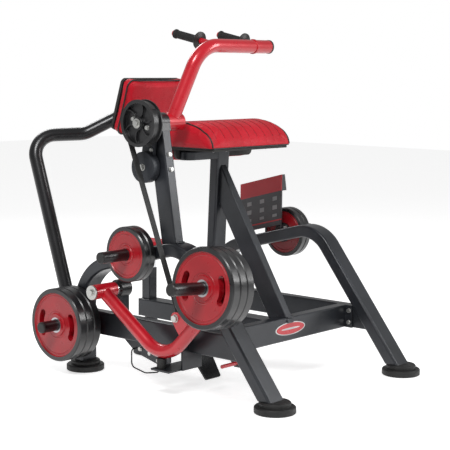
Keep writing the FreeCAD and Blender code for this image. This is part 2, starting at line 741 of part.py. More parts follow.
def horn(root, way, plates_end):
    """Plain tube with a welded flange; the cap closes its free end."""
    horn_caps.append(turned(cap_profile, root + way * horn_length, way))
    welded = rod(root, root + way * horn_flange_thickness, horn_flange_radius)
    shape = joined([rod(root, root + way * horn_length, horn_radius), welded])
    return shape.cut(clip_groove(root, way, plates_end))


right = ACROSS * -1
stack_gap = horn_flange_thickness + soft_clearance
large_end = large_count * (plate_thickness + soft_clearance) + 1
small_end = small_count * (small_plate_thickness + soft_clearance) + 1
rear_horn = horn(V(-arch_face, foot_y, rear_horn_z), right, stack_gap + large_end)
right_top_horn = horn(V(-arch_face, top_horn_y, top_horn_z), right, stack_gap + small_end)
left_top_horn = horn(V(arch_face, top_horn_y, top_horn_z), ACROSS, stack_gap + small_end)
parts["storage_horns"] = together([rear_horn, right_top_horn, left_top_horn])
tilt = math.radians(horn_tilt)
load_way = V(-math.cos(tilt), 0, math.sin(tilt))
load_horn = rod(load_root, load_root + load_way * load_horn_length, horn_radius)
load_collar = rod(load_root, load_root + load_way * (load_plate_start - 1), horn_radius + 6)
load_horn = joined([load_horn, load_collar]).cut(lever_solid)
load_horn = load_horn.cut(clip_groove(load_root, load_way, load_plate_start + large_end))
parts["load_horn"] = max(load_horn.Solids, key=lambda piece: piece.Volume)
load_cap = turned(cap_profile, load_root + load_way * load_horn_length, load_way)
parts["horn_caps"] = together(horn_caps)
parts["load_horn_cap"] = load_cap

# ---- weight plates ----
plate_bore = horn_radius + plate_bore_clearance


def plate_profile(radius, thickness, rim, recess, hub):
    return [(0, plate_bore), (0, hub), (recess, hub + 3), (recess, radius - rim - 3), (0, radius - rim),
            (0, radius - 4), (4, radius), (thickness - 4, radius), (thickness, radius - 4),
            (thickness, radius - rim), (thickness - recess, radius - rim - 3),
            (thickness - recess, hub + 3), (thickness, hub), (thickness, plate_bore)]


large_profile = plate_profile(plate_radius, plate_thickness, plate_rim, plate_recess, plate_hub_radius)
small_profile = plate_profile(small_plate_radius, small_plate_thickness, small_plate_rim,
                              small_plate_recess, small_plate_hub_radius)


def hand_slot(turn):
    """Curved opening through a large plate, centred on the angle."""
    depth = plate_thickness + 2
    cut = Part.makeCylinder(plate_slot_circle + plate_slot_radius, depth, V(0, 0, -1), UP, plate_slot_angle)
    cut = cut.cut(Part.makeCylinder(plate_slot_circle - plate_slot_radius, depth, V(0, 0, -1)))
    for angle in (0.0, plate_slot_angle):
        a = math.radians(angle)
        centre = V(plate_slot_circle * math.cos(a), plate_slot_circle * math.sin(a), -1)
        cut = cut.fuse(Part.makeCylinder(plate_slot_radius, depth, centre))
    cut.rotate(V(0, 0, 0), UP, turn - plate_slot_angle / 2)
    return cut


large_plate = turned(large_profile, V(0, 0, 0), UP)
for turn in (90.0, 270.0):
    large_plate = large_plate.cut(hand_slot(turn))
small_plate = turned(small_profile, V(0, 0, 0), UP)


def plate_stack(plate, thickness, count, start, way):
    pitch = thickness + soft_clearance
    stack = []
    for k in range(count):
        one = plate.copy()
        one.Placement = FreeCAD.Placement(start + way * (k * pitch), FreeCAD.Rotation(UP, way))
        stack.append(one)
    return together(stack)


parts["rear_plates"] = plate_stack(large_plate, plate_thickness, large_count,
                                   V(-arch_face - stack_gap, foot_y, rear_horn_z), right)
parts["right_top_plates"] = plate_stack(small_plate, small_plate_thickness, small_count,
                                        V(-arch_face - stack_gap, top_horn_y, top_horn_z), right)
parts["left_top_plates"] = plate_stack(small_plate, small_plate_thickness, small_count,
                                       V(arch_face + stack_gap, top_horn_y, top_horn_z), ACROSS)
parts["loaded_plates"] = plate_stack(large_plate, plate_thickness, large_count,
                                     load_root + load_way * load_plate_start, load_way)

# ---- elbow pad, chest pad and their bracket ----
pad_outline = [(elbow_front, elbow_bottom), (elbow_rear, elbow_bottom), (elbow_rear, elbow_rear_z)]
elbow_x = V(-elbow_half_width, 0, 0)
front_reach = elbow_crest_y - elbow_front
front_rise = elbow_crest_z - elbow_bottom
crest = []
for k in range(7):
    a = math.radians(90 - 15 * k)
    crest.append(V(-elbow_half_width, elbow_crest_y - front_reach * math.cos(math.pi / 2 - a),
                   elbow_bottom + front_rise * math.cos(a)))
crest.append(V(-elbow_half_width, elbow_crest_y + 0.45 * (elbow_rear - elbow_crest_y),
               elbow_crest_z - 0.28 * (elbow_crest_z - elbow_rear_z)))
crest.append(V(-elbow_half_width, elbow_rear, elbow_rear_z))
curve = Part.BSplineCurve()
curve.interpolate(crest)
rear_low = V(-elbow_half_width, elbow_rear, elbow_bottom)
pad_wire = Part.Wire([curve.toShape(), Part.LineSegment(crest[-1], rear_low).toShape(),
                      Part.LineSegment(rear_low, crest[0]).toShape()])
parts["elbow_pad"] = Part.Face(pad_wire).extrude(V(2 * elbow_half_width, 0, 0))
board_x = (-elbow_half_width + board_inset, elbow_half_width - board_inset)
elbow_board = box(board_x, (elbow_front + board_inset, elbow_rear - board_inset),
                  (board_bottom, board_bottom + board_thickness))
upright = [e for e in elbow_board.Edges if abs(e.Length - board_thickness) < 0.1]
elbow_board = elbow_board.makeFillet(board_inset, upright)

chest_top = board_bottom - 1.0
chest_rear = chest_front + chest_board_thickness


def chest_slab(half_width, bottom, y, corner):
    points = [V(-half_width, y[0], chest_top), V(-half_width, y[0], bottom),
              V(half_width, y[0], bottom), V(half_width, y[0], chest_top)]
    middle = V(0, y[0], chest_top)
    wire = path([middle] + points + [middle], [0, corner, corner, 0])
    return Part.Face(wire).extrude(V(0, y[1] - y[0], 0))


chest_board = chest_slab(chest_half_width - board_inset, chest_bottom + board_inset / 2,
                         (chest_front, chest_rear), chest_corner - board_inset / 2)
chest_pad_y = (chest_rear + soft_clearance, chest_rear + soft_clearance + chest_pad_thickness)
parts["pad_boards"] = together([elbow_board, chest_board])
parts["chest_pad"] = chest_slab(chest_half_width, chest_bottom, chest_pad_y, chest_corner)

bracket_points = [V(-half + post_wall, bracket_y, bracket_z), V(bracket_x, bracket_y, bracket_z)]
bracket_points.append(V(bracket_x, chest_front, bracket_z))
bracket_profile = rectangle(bracket_points[0], DEPTH, UP, bracket_size, bracket_size, 5.0)
bracket = sweep(path(bracket_points, [bracket_bend]), bracket_profile)
parts["pad_bracket"] = bracket.cut(post_solid)

# ---- backrest and its tube ----
back_up = V(0, -math.sin(math.radians(back_lean)), math.cos(math.radians(back_lean)))
back_out = V(0, back_up.z, -back_up.y)
back_foot = V(0, back_foot_y, back_foot_z)
back_middle = back_foot + back_up * (back_length / 2)


def back_slab(half_width, height, near, far, corner):
    face = rectangle(back_middle + back_out * near, ACROSS, back_up, 2 * half_width, height, corner)
    return Part.Face(face).extrude(back_out * (far - near))


back_rear = back_pad_thickness + soft_clearance + back_board_thickness
parts["backrest_pad"] = back_slab(back_half_width, back_length, 0, back_pad_thickness, back_corner)
parts["backrest_board"] = back_slab(back_half_width - board_inset, back_length - 2 * board_inset,
                                    back_pad_thickness + soft_clearance, back_rear, back_corner - board_inset)
back_plate = rectangle(back_middle + back_out * back_rear, ACROSS, back_up, back_plate_size, back_plate_size, 8.0)
back_plate = Part.Face(back_plate).extrude(back_out * back_plate_thickness)
post_rear = foot_y + arch_depth / 2
back_points = [V(-arch_x, post_rear + back_tube_radius + 8, 175.0), V(-arch_x, 888.0, 1010.0)]
back_points.append(V(-215.0, 772.0, 1016.0))
back_end = back_middle + back_out * back_rear
back_points.append(back_end)
back_tube, back_solid = round_tube(back_points, [95.0, 100.0], back_tube_radius, back_tube_wall)
behind = rectangle(back_middle + back_out * (back_rear + back_plate_thickness), ACROSS, back_up,
                   2 * back_plate_size, 2 * back_plate_size, 0.0)
behind = Part.Face(behind).extrude(back_out * (-back_rear - back_plate_thickness))
back_hollow = back_solid.cut(back_tube)
back_tube = max(back_tube.cut(behind).Solids, key=lambda piece: piece.Volume)
lug_blocks = []
for z in (215.0, 330.0):
    reach = back_points[0].y + (z - back_points[0].z) * 0.345
    lug_blocks.append(box((-arch_x - 12, -arch_x + 12), (post_rear, reach), (z - 28, z + 28)))
parts["back_tube"] = joined([back_tube, back_plate] + [one.cut(back_hollow) for one in lug_blocks])

# ---- seat ----
tube_x = (-seat_tube / 2, seat_tube / 2)
seat_back_y = centre_beam_end - seat_tube / 2 - 4
tube_y = (seat_back_y - seat_tube / 2, seat_back_y + seat_tube / 2)
stem_half = seat_tube / 2 - seat_tube_wall - seat_stem_gap
seat_post = box(tube_x, tube_y, (centre_top, seat_tube_top))
seat_post = seat_post.makeFillet(4.0, [e for e in seat_post.Edges if e.Length > seat_tube_top - centre_top - 1])
wall_half = seat_tube / 2 - seat_tube_wall
seat_post = seat_post.cut(box((-wall_half, wall_half), (seat_back_y - wall_half, seat_back_y + wall_half),
                              (centre_top - 1, seat_tube_top + 1)))
pin_hole = rod(V(0, seat_back_y + stem_half, pin_z), V(0, tube_y[1] + 60, pin_z), pin_radius + running_clearance)
pin_boss = rod(V(0, tube_y[1] - 1, pin_z), V(0, tube_y[1] + 14, pin_z), pin_radius + 6)
parts["seat_post"] = joined([seat_post, pin_boss]).cut(pin_hole)
seat_board_z = seat_top - seat_pad_thickness - soft_clearance - board_thickness
stem = box((-stem_half, stem_half), (seat_back_y - stem_half, seat_back_y + stem_half),
           (seat_stem_bottom, seat_board_z))
parts["seat_stem"] = stem.cut(box((-stem_half + 4, stem_half - 4),
                                  (seat_back_y - stem_half + 4, seat_back_y + stem_half - 4),
                                  (seat_stem_bottom - 1, seat_board_z - 4)))


def seat_slab(inset, z, corner):
    centre = V(0, seat_y, z[0])
    face = rectangle(centre, ACROSS, DEPTH, 2 * (seat_half_width - inset), 2 * (seat_half_depth - inset), corner)
    return Part.Face(face).extrude(V(0, 0, z[1] - z[0]))


parts["seat_board"] = seat_slab(board_inset, (seat_board_z, seat_board_z + board_thickness), seat_corner - board_inset)
parts["seat_pad"] = seat_slab(0, (seat_top - seat_pad_thickness, seat_top), seat_corner)
pin_start = seat_back_y + wall_half
pin = rod(V(0, pin_start, pin_z), V(0, tube_y[1] + 26, pin_z), pin_radius)
knob_profile = [(0, 0), (0, pin_knob_radius - 4), (4, pin_knob_radius), (pin_knob_length - 4, pin_knob_radius)]
knob_profile += [(pin_knob_length, pin_knob_radius - 4), (pin_knob_length, 0)]
knob = turned(knob_profile, V(0, tube_y[1] + 18, pin_z), DEPTH)
parts["seat_pin"] = joined([pin, knob])

# ---- placard ----
placard_rear = placard_front + placard_length
fall = arch_top(0) - arch_top(1)
face_x = (placard_x, placard_x + sheet_thickness)
placard_face = slab_yz([(placard_front, arch_top(placard_front) + 22), (placard_rear, arch_top(placard_rear) + 22),
                        (placard_rear, placard_top - fall * placard_length), (placard_front, placard_top)],
                       face_x)
hem = box((placard_x, placard_x + placard_hem), (placard_front - sheet_thickness, placard_front),
          (arch_top(placard_front - sheet_thickness), placard_top))
ear_low = placard_top - placard_ear_height
ear = slab([V(placard_x, placard_front, placard_top), V(placard_x + placard_ear_top, placard_front, placard_top),
            V(placard_x + placard_ear, placard_front, ear_low), V(placard_x, placard_front, ear_low)],
           0.0, DEPTH * -sheet_thickness)
low_y = placard_front - placard_foot
placard_base = slab_yz([(low_y, arch_top(low_y)), (placard_front, arch_top(placard_front)),
                        (placard_front, arch_top(placard_front) + sheet_thickness),
                        (low_y, arch_top(low_y) + sheet_thickness)],
                       (placard_x, arch_x + arch_width / 2 - arch_corner))
placard = joined([placard_face, hem, ear, placard_base])
arch_up = V(0, fall, 1).normalize()
bolt_y = placard_front - placard_foot / 2
seat = V(arch_x + 15, bolt_y, arch_top(bolt_y)) + arch_up * (sheet_thickness / arch_up.z)
parts["left_arch"] = parts["left_arch"].cut(bolt_hole(seat, arch_up, 20, 8.0))
placard = placard.cut(bolt_hole(seat, arch_up, 20, 8.0))
bolts.append(bolt(seat, arch_up, 16, 8.0))
parts["placard"] = placard

# ---- lever stop ----
stop_plate = box((-500.0, beam_inner * -1 + 25), (stop_y - stop_plate_thickness, stop_y),
                 (stop_shelf_top - stop_plate_thickness, beam_top - beam_height / 2))
shelf = box((lever_x - 32, beam_inner * -1 + 25), (stop_y, 0.0),
            (stop_shelf_top - stop_plate_thickness, stop_shelf_top))
parts["stop_bracket"] = joined([stop_plate, shelf]).cut(beam_solid)
to_pivot = V(0, lever_y - lever_corner[0], lever_z - lever_corner[1]).normalize()
bend_half = to_pivot.getAngle(tail_way) / 2
bend_centre = V(lever_x, lever_corner[0], lever_corner[1])
bend_centre = bend_centre + (to_pivot + tail_way).normalize() * (lever_bend / math.sin(bend_half))
bumper_top = bend_centre.z - lever_bend - lever_tube_radius - soft_clearance
bumper_foot = V(lever_x, bend_centre.y, stop_shelf_top)
bumper_profile = [(0, 0), (0, bumper_radius), (bumper_top - stop_shelf_top - 3, bumper_radius)]
bumper_profile += [(bumper_top - stop_shelf_top, bumper_radius - 3), (bumper_top - stop_shelf_top, 0)]
parts["stop_bumper"] = turned(bumper_profile, bumper_foot, UP)

# ---- latch bracket and its cable ----
latch_x = (-arch_x - latch_thickness / 2, -arch_x + latch_thickness / 2)
latch = slab_yz([(293.0, beam_bottom), (221.0, 123.0), (50.0, 80.0), (20.0, 108.0), (20.0, beam_bottom)], latch_x)
for y, z in ((190.0, 142.0), (84.0, 108.0)):
    seat = V(latch_x[0], y, z)
    bolts.append(bolt(seat, right, latch_thickness + 12))
    latch = latch.cut(bolt_hole(seat, right, latch_thickness + 12))
latch_rod = rod_x((latch_x[0] - 30, latch_x[1] + 30), 112.0, 138.0, 8.0)
parts["latch_bracket"] = latch.cut(latch_rod)
bolts.append(latch_rod)
cable_x = latch_x[0] - 22
cable_points = [V(latch_x[0], 222.0, 140.0), V(cable_x, 222.0, 140.0), V(cable_x, 222.0, 66.0)]
cable_points += [V(cable_x, 140.0, 50.0), V(cable_x, 60.0, 66.0), V(cable_x, 60.0, 100.0), V(latch_x[0], 60.0, 100.0)]
cable_path = path(cable_points, [14.0, 24.0, 60.0, 20.0, 12.0])
parts["latch_cable"] = sweep(cable_path, Part.Wire(Part.makeCircle(cable_radius, cable_points[0], right)))

# ---- pedal ----
ear_half = pedal_ear_gap / 2
ears = []
ear_outline = [(crossbeam_rear, beam_bottom + 60), (-172.0, 200.0), (-172.0, 150.0), (-212.0, 106.0)]
ear_outline += [(-250.0, 106.0), (-250.0, beam_bottom), (crossbeam_rear, beam_bottom)]
bar_y = -231.0
bar_z = 125.0
pedal_hole = rod_x((-arch_x, 0), pedal_pivot_y, pedal_pivot_z, pedal_pin_radius)
bar_x = (pedal_x - 120, pedal_x + 40)
pedal_bar = rod_x(bar_x, bar_y, bar_z, pedal_bar_radius)
for side in (-1, 1):
    start = pedal_x + side * (ear_half + pedal_ear_thickness / 2)
    span = (start - pedal_ear_thickness / 2, start + pedal_ear_thickness / 2)
    ears.append(slab_yz(ear_outline, span).cut(pedal_hole).cut(pedal_bar))
parts["pedal_ears"] = together(ears)
pin_half = ear_half + pedal_ear_thickness
pedal_pin = rod_x((pedal_x - pin_half, pedal_x + pin_half), pedal_pivot_y, pedal_pivot_z, pedal_pin_radius)
parts["pedal_rods"] = together([pedal_bar, pedal_pin])
pedal_hub = rod_x((pedal_x - ear_half + 1, pedal_x + ear_half - 1), pedal_pivot_y, pedal_pivot_z, pedal_pin_radius + 7)
pedal_arm = slab_yz([(pedal_pivot_y, pedal_pivot_z - 11), (0.0, 128.0), (0.0, 150.0), (pedal_pivot_y, pedal_pivot_z + 11)],
                    (pedal_x - 6, pedal_x + 6))
pedal_way = V(0, -80.0, -110.0).normalize()
pedal_out = V(0, pedal_way.z, -pedal_way.y)
pedal_head = V(pedal_x, 0.0, 144.0)
pedal_toe = V(pedal_x, -82.0, 34.0)
tread = [pedal_head - ACROSS * (pedal_top_width / 2), pedal_head + ACROSS * (pedal_top_width / 2),
         pedal_toe + ACROSS * (pedal_bottom_width / 2), pedal_toe - ACROSS * (pedal_bottom_width / 2)]
tread = slab(tread, 10.0, pedal_out * -pedal_thickness)
pedal = joined([pedal_hub, pedal_arm, tread])
parts["pedal"] = pedal.cut(rod_x((-arch_x, 0), pedal_pivot_y, pedal_pivot_z, pedal_pin_radius + running_clearance))

# ---- side beams are finished last, once every hole is known ----
parts["base_beams"] = together([beam, mirrored(beam)])
parts["frame_bolts"] = together(bolts)

# ---- origin at the middle of the base, then one STEP file for each piece ----
whole = Part.makeCompound(list(parts.values())).optimalBoundingBox(False)
shift = V(-(whole.XMin + whole.XMax) / 2, -(whole.YMin + whole.YMax) / 2, 0)
os.makedirs("parts", exist_ok=True)
for name, shape in parts.items():
    shape.translated(shift).exportStep(os.path.join("parts", name + ".step"))
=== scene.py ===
import bpy
import bmesh
import math
from mathutils import Matrix, Vector
from mathutils.bvhtree import BVHTree


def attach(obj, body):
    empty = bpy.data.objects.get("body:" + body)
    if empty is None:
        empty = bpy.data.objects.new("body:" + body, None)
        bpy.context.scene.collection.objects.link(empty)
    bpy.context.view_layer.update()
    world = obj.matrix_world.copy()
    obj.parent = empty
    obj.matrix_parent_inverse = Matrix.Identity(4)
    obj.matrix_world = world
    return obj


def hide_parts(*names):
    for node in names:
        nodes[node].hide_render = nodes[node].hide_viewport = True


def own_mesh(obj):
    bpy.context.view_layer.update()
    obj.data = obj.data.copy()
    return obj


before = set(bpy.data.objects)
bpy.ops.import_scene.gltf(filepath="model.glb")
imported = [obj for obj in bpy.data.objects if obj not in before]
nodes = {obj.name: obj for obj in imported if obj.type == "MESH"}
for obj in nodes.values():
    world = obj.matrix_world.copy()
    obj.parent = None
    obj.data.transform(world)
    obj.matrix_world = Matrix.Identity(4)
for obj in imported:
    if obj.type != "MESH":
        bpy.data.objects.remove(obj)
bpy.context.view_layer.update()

SHIFT = Vector((0.0892328, -0.1371562, 0.0))      # machine's middle to the row's origin


def at(x, y, z):
    """A point given from the machine's middle, in the row frame."""
    return Vector((x, y, z)) + SHIFT


# ---------------------------------------------------------------- camera
def place_camera():
    azimuth, down, roll = 0.8514938, 0.1217983, 0.0077992
    data = bpy.data.cameras.new("camera")
    data.lens = 104.144
    data.sensor_width = 36.0
    data.clip_end = 60.0
    cam = bpy.data.objects.new("camera", data)
    bpy.context.scene.collection.objects.link(cam)
    ahead = Vector((math.sin(azimuth) * math.cos(down), math.cos(azimuth) * math.cos(down), -math.sin(down)))
    right = Vector((math.cos(azimuth), -math.sin(azimuth), 0))
    up = right.cross(ahead)
    r = right * math.cos(roll) + up * math.sin(roll)
    u = up * math.cos(roll) - right * math.sin(roll)
    m = Matrix((r, u, -ahead)).transposed().to_4x4()
    m.translation = at(-4.254385, -3.618172, 1.328563)
    cam.matrix_world = m
    bpy.context.scene.camera = cam


place_camera()


# ---------------------------------------------------------------- material helpers
class Graph:
    """Small helper that keeps node wiring readable."""

    bevel = None

    def __init__(self, name):
        self.mat = bpy.data.materials.new(name)
        self.mat.use_nodes = True
        self.tree = self.mat.node_tree
        self.bsdf = self.tree.nodes["Principled BSDF"]
        self.coord = self.tree.nodes.new("ShaderNodeTexCoord").outputs["Object"]

    def new(self, kind, **sockets):
        n = self.tree.nodes.new(kind)
        for key, value in sockets.items():
            self.put(n.inputs[key.replace("_", " ")], value)
        return n

    def put(self, socket, value):
        if isinstance(value, bpy.types.NodeSocket):
            self.tree.links.new(value, socket)
        else:
            socket.default_value = value

    def noise(self, scale, detail=4.0, rough=0.5, coord=None):
        place = coord or self.coord
        n = self.new("ShaderNodeTexNoise", Vector=place, Scale=scale, Detail=detail, Roughness=rough)
        return n.outputs["Fac"]

    def voronoi(self, scale, feature="F1", coord=None):
        n = self.new("ShaderNodeTexVoronoi", Vector=coord or self.coord, Scale=scale)
        n.feature = feature
        return n.outputs["Distance"]

    def math(self, op, a, b=0.0, c=0.0, clamp=False):
        n = self.tree.nodes.new("ShaderNodeMath")
        n.operation = op
        n.use_clamp = clamp
        for socket, value in zip(n.inputs, (a, b, c)):
            self.put(socket, value)
        return n.outputs[0]

    def ramp(self, value, low, high, to_low=0.0, to_high=1.0):
        n = self.new("ShaderNodeMapRange", Value=value)
        for key, v in (("From Min", low), ("From Max", high), ("To Min", to_low), ("To Max", to_high)):
            n.inputs[key].default_value = v
        return n.outputs[0]

    def mix(self, fac, a, b):
        n = self.tree.nodes.new("ShaderNodeMix")
        n.data_type = "RGBA"
        self.put(n.inputs[0], fac)
        self.put(n.inputs[6], a if isinstance(a, bpy.types.NodeSocket) else tuple(a) + (1.0,))
        self.put(n.inputs[7], b if isinstance(b, bpy.types.NodeSocket) else tuple(b) + (1.0,))
        return n.outputs[2]

    def split(self):
        n = self.new("ShaderNodeSeparateXYZ", Vector=self.coord)
        return n.outputs

    def bump(self, *layers):
        """Each layer is (height, strength, distance); they stack."""
        normal = self.bevel
        for height, strength, distance in layers:
            n = self.new("ShaderNodeBump", Strength=strength, Distance=distance, Height=height)
            if normal is not None:
                self.put(n.inputs["Normal"], normal)
            normal = n.outputs[0]
        if normal is not None:
            self.put(self.bsdf.inputs["Normal"], normal)

    def rounded(self, radius):
        n = self.new("ShaderNodeBevel", Radius=radius)
        n.samples = 4
        self.bevel = n.outputs[0]

    def set(self, **sockets):
        for key, value in sockets.items():
            name = key.replace("_", " ")
            if name == "Base Color" and not isinstance(value, bpy.types.NodeSocket):
                value = tuple(value) + (1.0,)
            self.put(self.bsdf.inputs[name], value)
        return self


def powder_coat(name, dark, light, rough=0.42, coat=0.25, sparkle=1.0):
    g = Graph(name)
    g.rounded(0.0025)
    cloud = g.noise(6.0, 5.0)
    grain = g.noise(900.0, 2.0)
    flake = g.ramp(g.voronoi(1500.0), 0.0, 0.22, 1.0, 0.0)
    base = g.mix(g.ramp(cloud, 0.35, 0.65), dark, light)
    bright = [min(1.0, c * 3.2 + 0.02) for c in light]
    color = g.mix(g.math("MULTIPLY", flake, 0.28 * sparkle), base, bright)
    color = g.mix(g.ramp(g.noise(38.0, 6.0), 0.64, 0.78, 0.0, 0.25), color, [c * 1.7 + 0.01 for c in light])
    g.set(Base_Color=color, Metallic=0.35, Coat_Weight=coat, Coat_Roughness=0.25)
    g.set(Roughness=g.ramp(grain, 0.3, 0.7, rough - 0.07, rough + 0.09))
    g.bump((grain, 0.22, 0.0006), (g.noise(240.0, 3.0), 0.12, 0.0008))
    return g.mat


def gloss_red(name):
    g = Graph(name)
    g.rounded(0.0015)
    cloud = g.noise(5.0, 4.0)
    color = g.mix(g.ramp(cloud, 0.3, 0.7), (0.50, 0.003, 0.012), (0.62, 0.005, 0.020))
    flake = g.ramp(g.voronoi(1800.0), 0.0, 0.2, 1.0, 0.0)
    color = g.mix(g.math("MULTIPLY", flake, 0.12), color, (0.95, 0.06, 0.08))
    scuff = g.ramp(g.noise(55.0, 8.0, 0.7), 0.68, 0.8, 0.0, 0.35)
    color = g.mix(scuff, color, (0.55, 0.005, 0.014))
    g.set(Base_Color=color, Metallic=0.12, Coat_Weight=0.6, Coat_Roughness=0.08)
    g.set(Roughness=g.ramp(g.noise(30.0, 4.0), 0.3, 0.7, 0.26, 0.36))
    g.bump((g.noise(190.0, 2.0), 0.05, 0.001), (g.noise(900.0, 1.0), 0.04, 0.0005))
    return g.mat


def metal(name, tint, rough, streak=(1.0, 1.0, 1.0), scale=180.0):
    g = Graph(name)
    g.rounded(0.0008)
    stretched = g.new("ShaderNodeMapping", Vector=g.coord)
    stretched.inputs["Scale"].default_value = streak
    lines = g.noise(scale, 5.0, 0.6, stretched.outputs[0])
    cloud = g.noise(24.0, 5.0)
    g.set(Base_Color=g.mix(cloud, [c * 0.8 for c in tint], tint), Metallic=1.0)
    g.set(Roughness=g.ramp(lines, 0.3, 0.7, rough - 0.06, rough + 0.1))
    g.bump((lines, 0.12, 0.0004))
    return g.mat


def rubber(name, shade, rough=0.62, grain_scale=420.0, strength=0.35):
    g = Graph(name)
    g.rounded(0.0015)
    grain = g.voronoi(grain_scale)
    dust = g.ramp(g.noise(14.0, 6.0), 0.45, 0.75, 0.0, 0.5)
    g.set(Base_Color=g.mix(dust, (shade, shade, shade), (shade * 2.2, shade * 2.2, shade * 2.1)))
    g.set(Roughness=g.ramp(g.noise(60.0, 4.0), 0.3, 0.7, rough - 0.08, rough + 0.1), Specular_IOR_Level=0.45)
    g.bump((grain, strength, 0.0006), (g.noise(900.0), 0.15, 0.0004))
    return g.mat


def vinyl(name, deep, bright):
    """Leatherette: pebbled grain with painted shade in its valleys, soft creases and a slightly worn sheen.
    """
    g = Graph(name)
    cells = g.voronoi(430.0, "DISTANCE_TO_EDGE")
    pebble = g.ramp(cells, 0.0, 0.16)
    crease = g.ramp(g.noise(18.0, 8.0, 0.62), 0.42, 0.58)
    color = g.mix(g.ramp(g.noise(7.0, 4.0), 0.3, 0.7), deep, bright)
    # painted shade: the colour darkens in the grain's valleys, where the pebble relief is lowest
    valley_shade = g.math("MULTIPLY", g.ramp(cells, 0.0, 0.08, 1.0, 0.0), 0.45)
    color = g.mix(valley_shade, color, [c * 0.45 for c in deep])
    g.set(Base_Color=color, Specular_IOR_Level=0.30, Coat_Weight=0.06, Coat_Roughness=0.35, Sheen_Weight=0.02)
    g.set(Roughness=g.ramp(g.noise(26.0, 5.0), 0.3, 0.7, 0.40, 0.54))
    g.bump((pebble, 0.30, 0.0007), (crease, 0.10, 0.002))
    return g.mat


def plate_finish(name, centre, axis, radius, rim, hub):
    """Red enamel face, black rubber rim, bare steel ring round the bore, all by distance from the horn."""
    g = Graph(name)
    offset = g.new("ShaderNodeVectorMath", Vector=g.coord)
    offset.operation = "SUBTRACT"
    offset.inputs[1].default_value = centre
    dot = g.new("ShaderNodeVectorMath", Vector=offset.outputs[0])
    dot.operation = "DOT_PRODUCT"
    dot.inputs[1].default_value = axis
    length = g.new("ShaderNodeVectorMath", Vector=offset.outputs[0])
    length.operation = "LENGTH"
    along = dot.outputs["Value"]
    square = g.math("MULTIPLY", length.outputs["Value"], length.outputs["Value"])
    r = g.math("SQRT", g.math("SUBTRACT", square, g.math("MULTIPLY", along, along)))
    black = g.ramp(r, radius - rim - 0.001, radius - rim + 0.001)
    steel = g.ramp(r, hub - 0.0155, hub - 0.0145, 1.0, 0.0)
    ring_a = g.ramp(g.math("ABSOLUTE", g.math("SUBTRACT", r, radius - rim - 0.012)), 0.001, 0.003, 1.0, 0.0)
    ring_b = g.ramp(g.math("ABSOLUTE", g.math("SUBTRACT", r, hub + 0.010)), 0.001, 0.003, 1.0, 0.0)
    cast = g.noise(160.0, 6.0, 0.6)
    red = g.mix(g.ramp(g.noise(9.0, 5.0), 0.3, 0.7), (0.34, 0.003, 0.009), (0.46, 0.005, 0.014))
    red = g.mix(g.ramp(g.noise(70.0, 8.0, 0.7), 0.60, 0.74, 0.0, 0.4), red, (0.22, 0.003, 0.008))
    rim_color = g.mix(g.ramp(g.noise(20.0, 6.0), 0.4, 0.7), (0.006, 0.006, 0.007), (0.014, 0.014, 0.016))
    color = g.mix(black, red, rim_color)
    color = g.mix(steel, color, (0.50, 0.50, 0.52))
    g.set(Base_Color=color, Metallic=g.math("MULTIPLY", steel, 0.95))
    rough = g.ramp(g.noise(40.0, 5.0), 0.3, 0.7, 0.26, 0.42)
    g.set(Roughness=rough, Coat_Weight=0.35, Coat_Roughness=0.15)
    g.bump((ring_a, 0.8, 0.002), (ring_b, 0.8, 0.002), (cast, 0.12, 0.0008), (g.noise(700.0), 0.06, 0.0004))
    return g.mat


def board_finish(name):
    g = Graph(name)
    g.rounded(0.002)
    stretched = g.new("ShaderNodeMapping", Vector=g.coord)
    stretched.inputs["Scale"].default_value = (1.0, 9.0, 40.0)
    ply = g.noise(14.0, 6.0, 0.6, stretched.outputs[0])
    g.set(Base_Color=g.mix(ply, (0.010, 0.009, 0.009), (0.030, 0.027, 0.025)))
    g.set(Roughness=g.ramp(ply, 0.3, 0.7, 0.55, 0.75))
    g.bump((ply, 0.25, 0.001), (g.noise(500.0), 0.1, 0.0005))
    return g.mat


def webbing(name, shade):
    """Woven belt: fine ribs across its run and fine lines along it."""
    g = Graph(name)
    x, y, z = g.split()
    ribs = g.math("SINE", g.math("MULTIPLY", g.math("ADD", z, g.math("MULTIPLY", y, -0.7)), 2600.0))
    lengthwise = g.math("SINE", g.math("MULTIPLY", x, 2100.0))
    weave = g.math("MULTIPLY", ribs, lengthwise)
    # woven pattern whose light and dark follow its relief: painted shade in the troughs and painted highlight
    # on the ribs
    g.set(Base_Color=g.mix(g.ramp(weave, -1.0, 1.0), (shade * 0.6,) * 3, (shade * 1.9,) * 3))
    g.set(Roughness=g.ramp(g.noise(50.0, 4.0), 0.3, 0.7, 0.45, 0.62), Sheen_Weight=0.1)
    g.bump((weave, 0.35, 0.0005), (g.noise(300.0, 3.0), 0.1, 0.0005))
    return g.mat


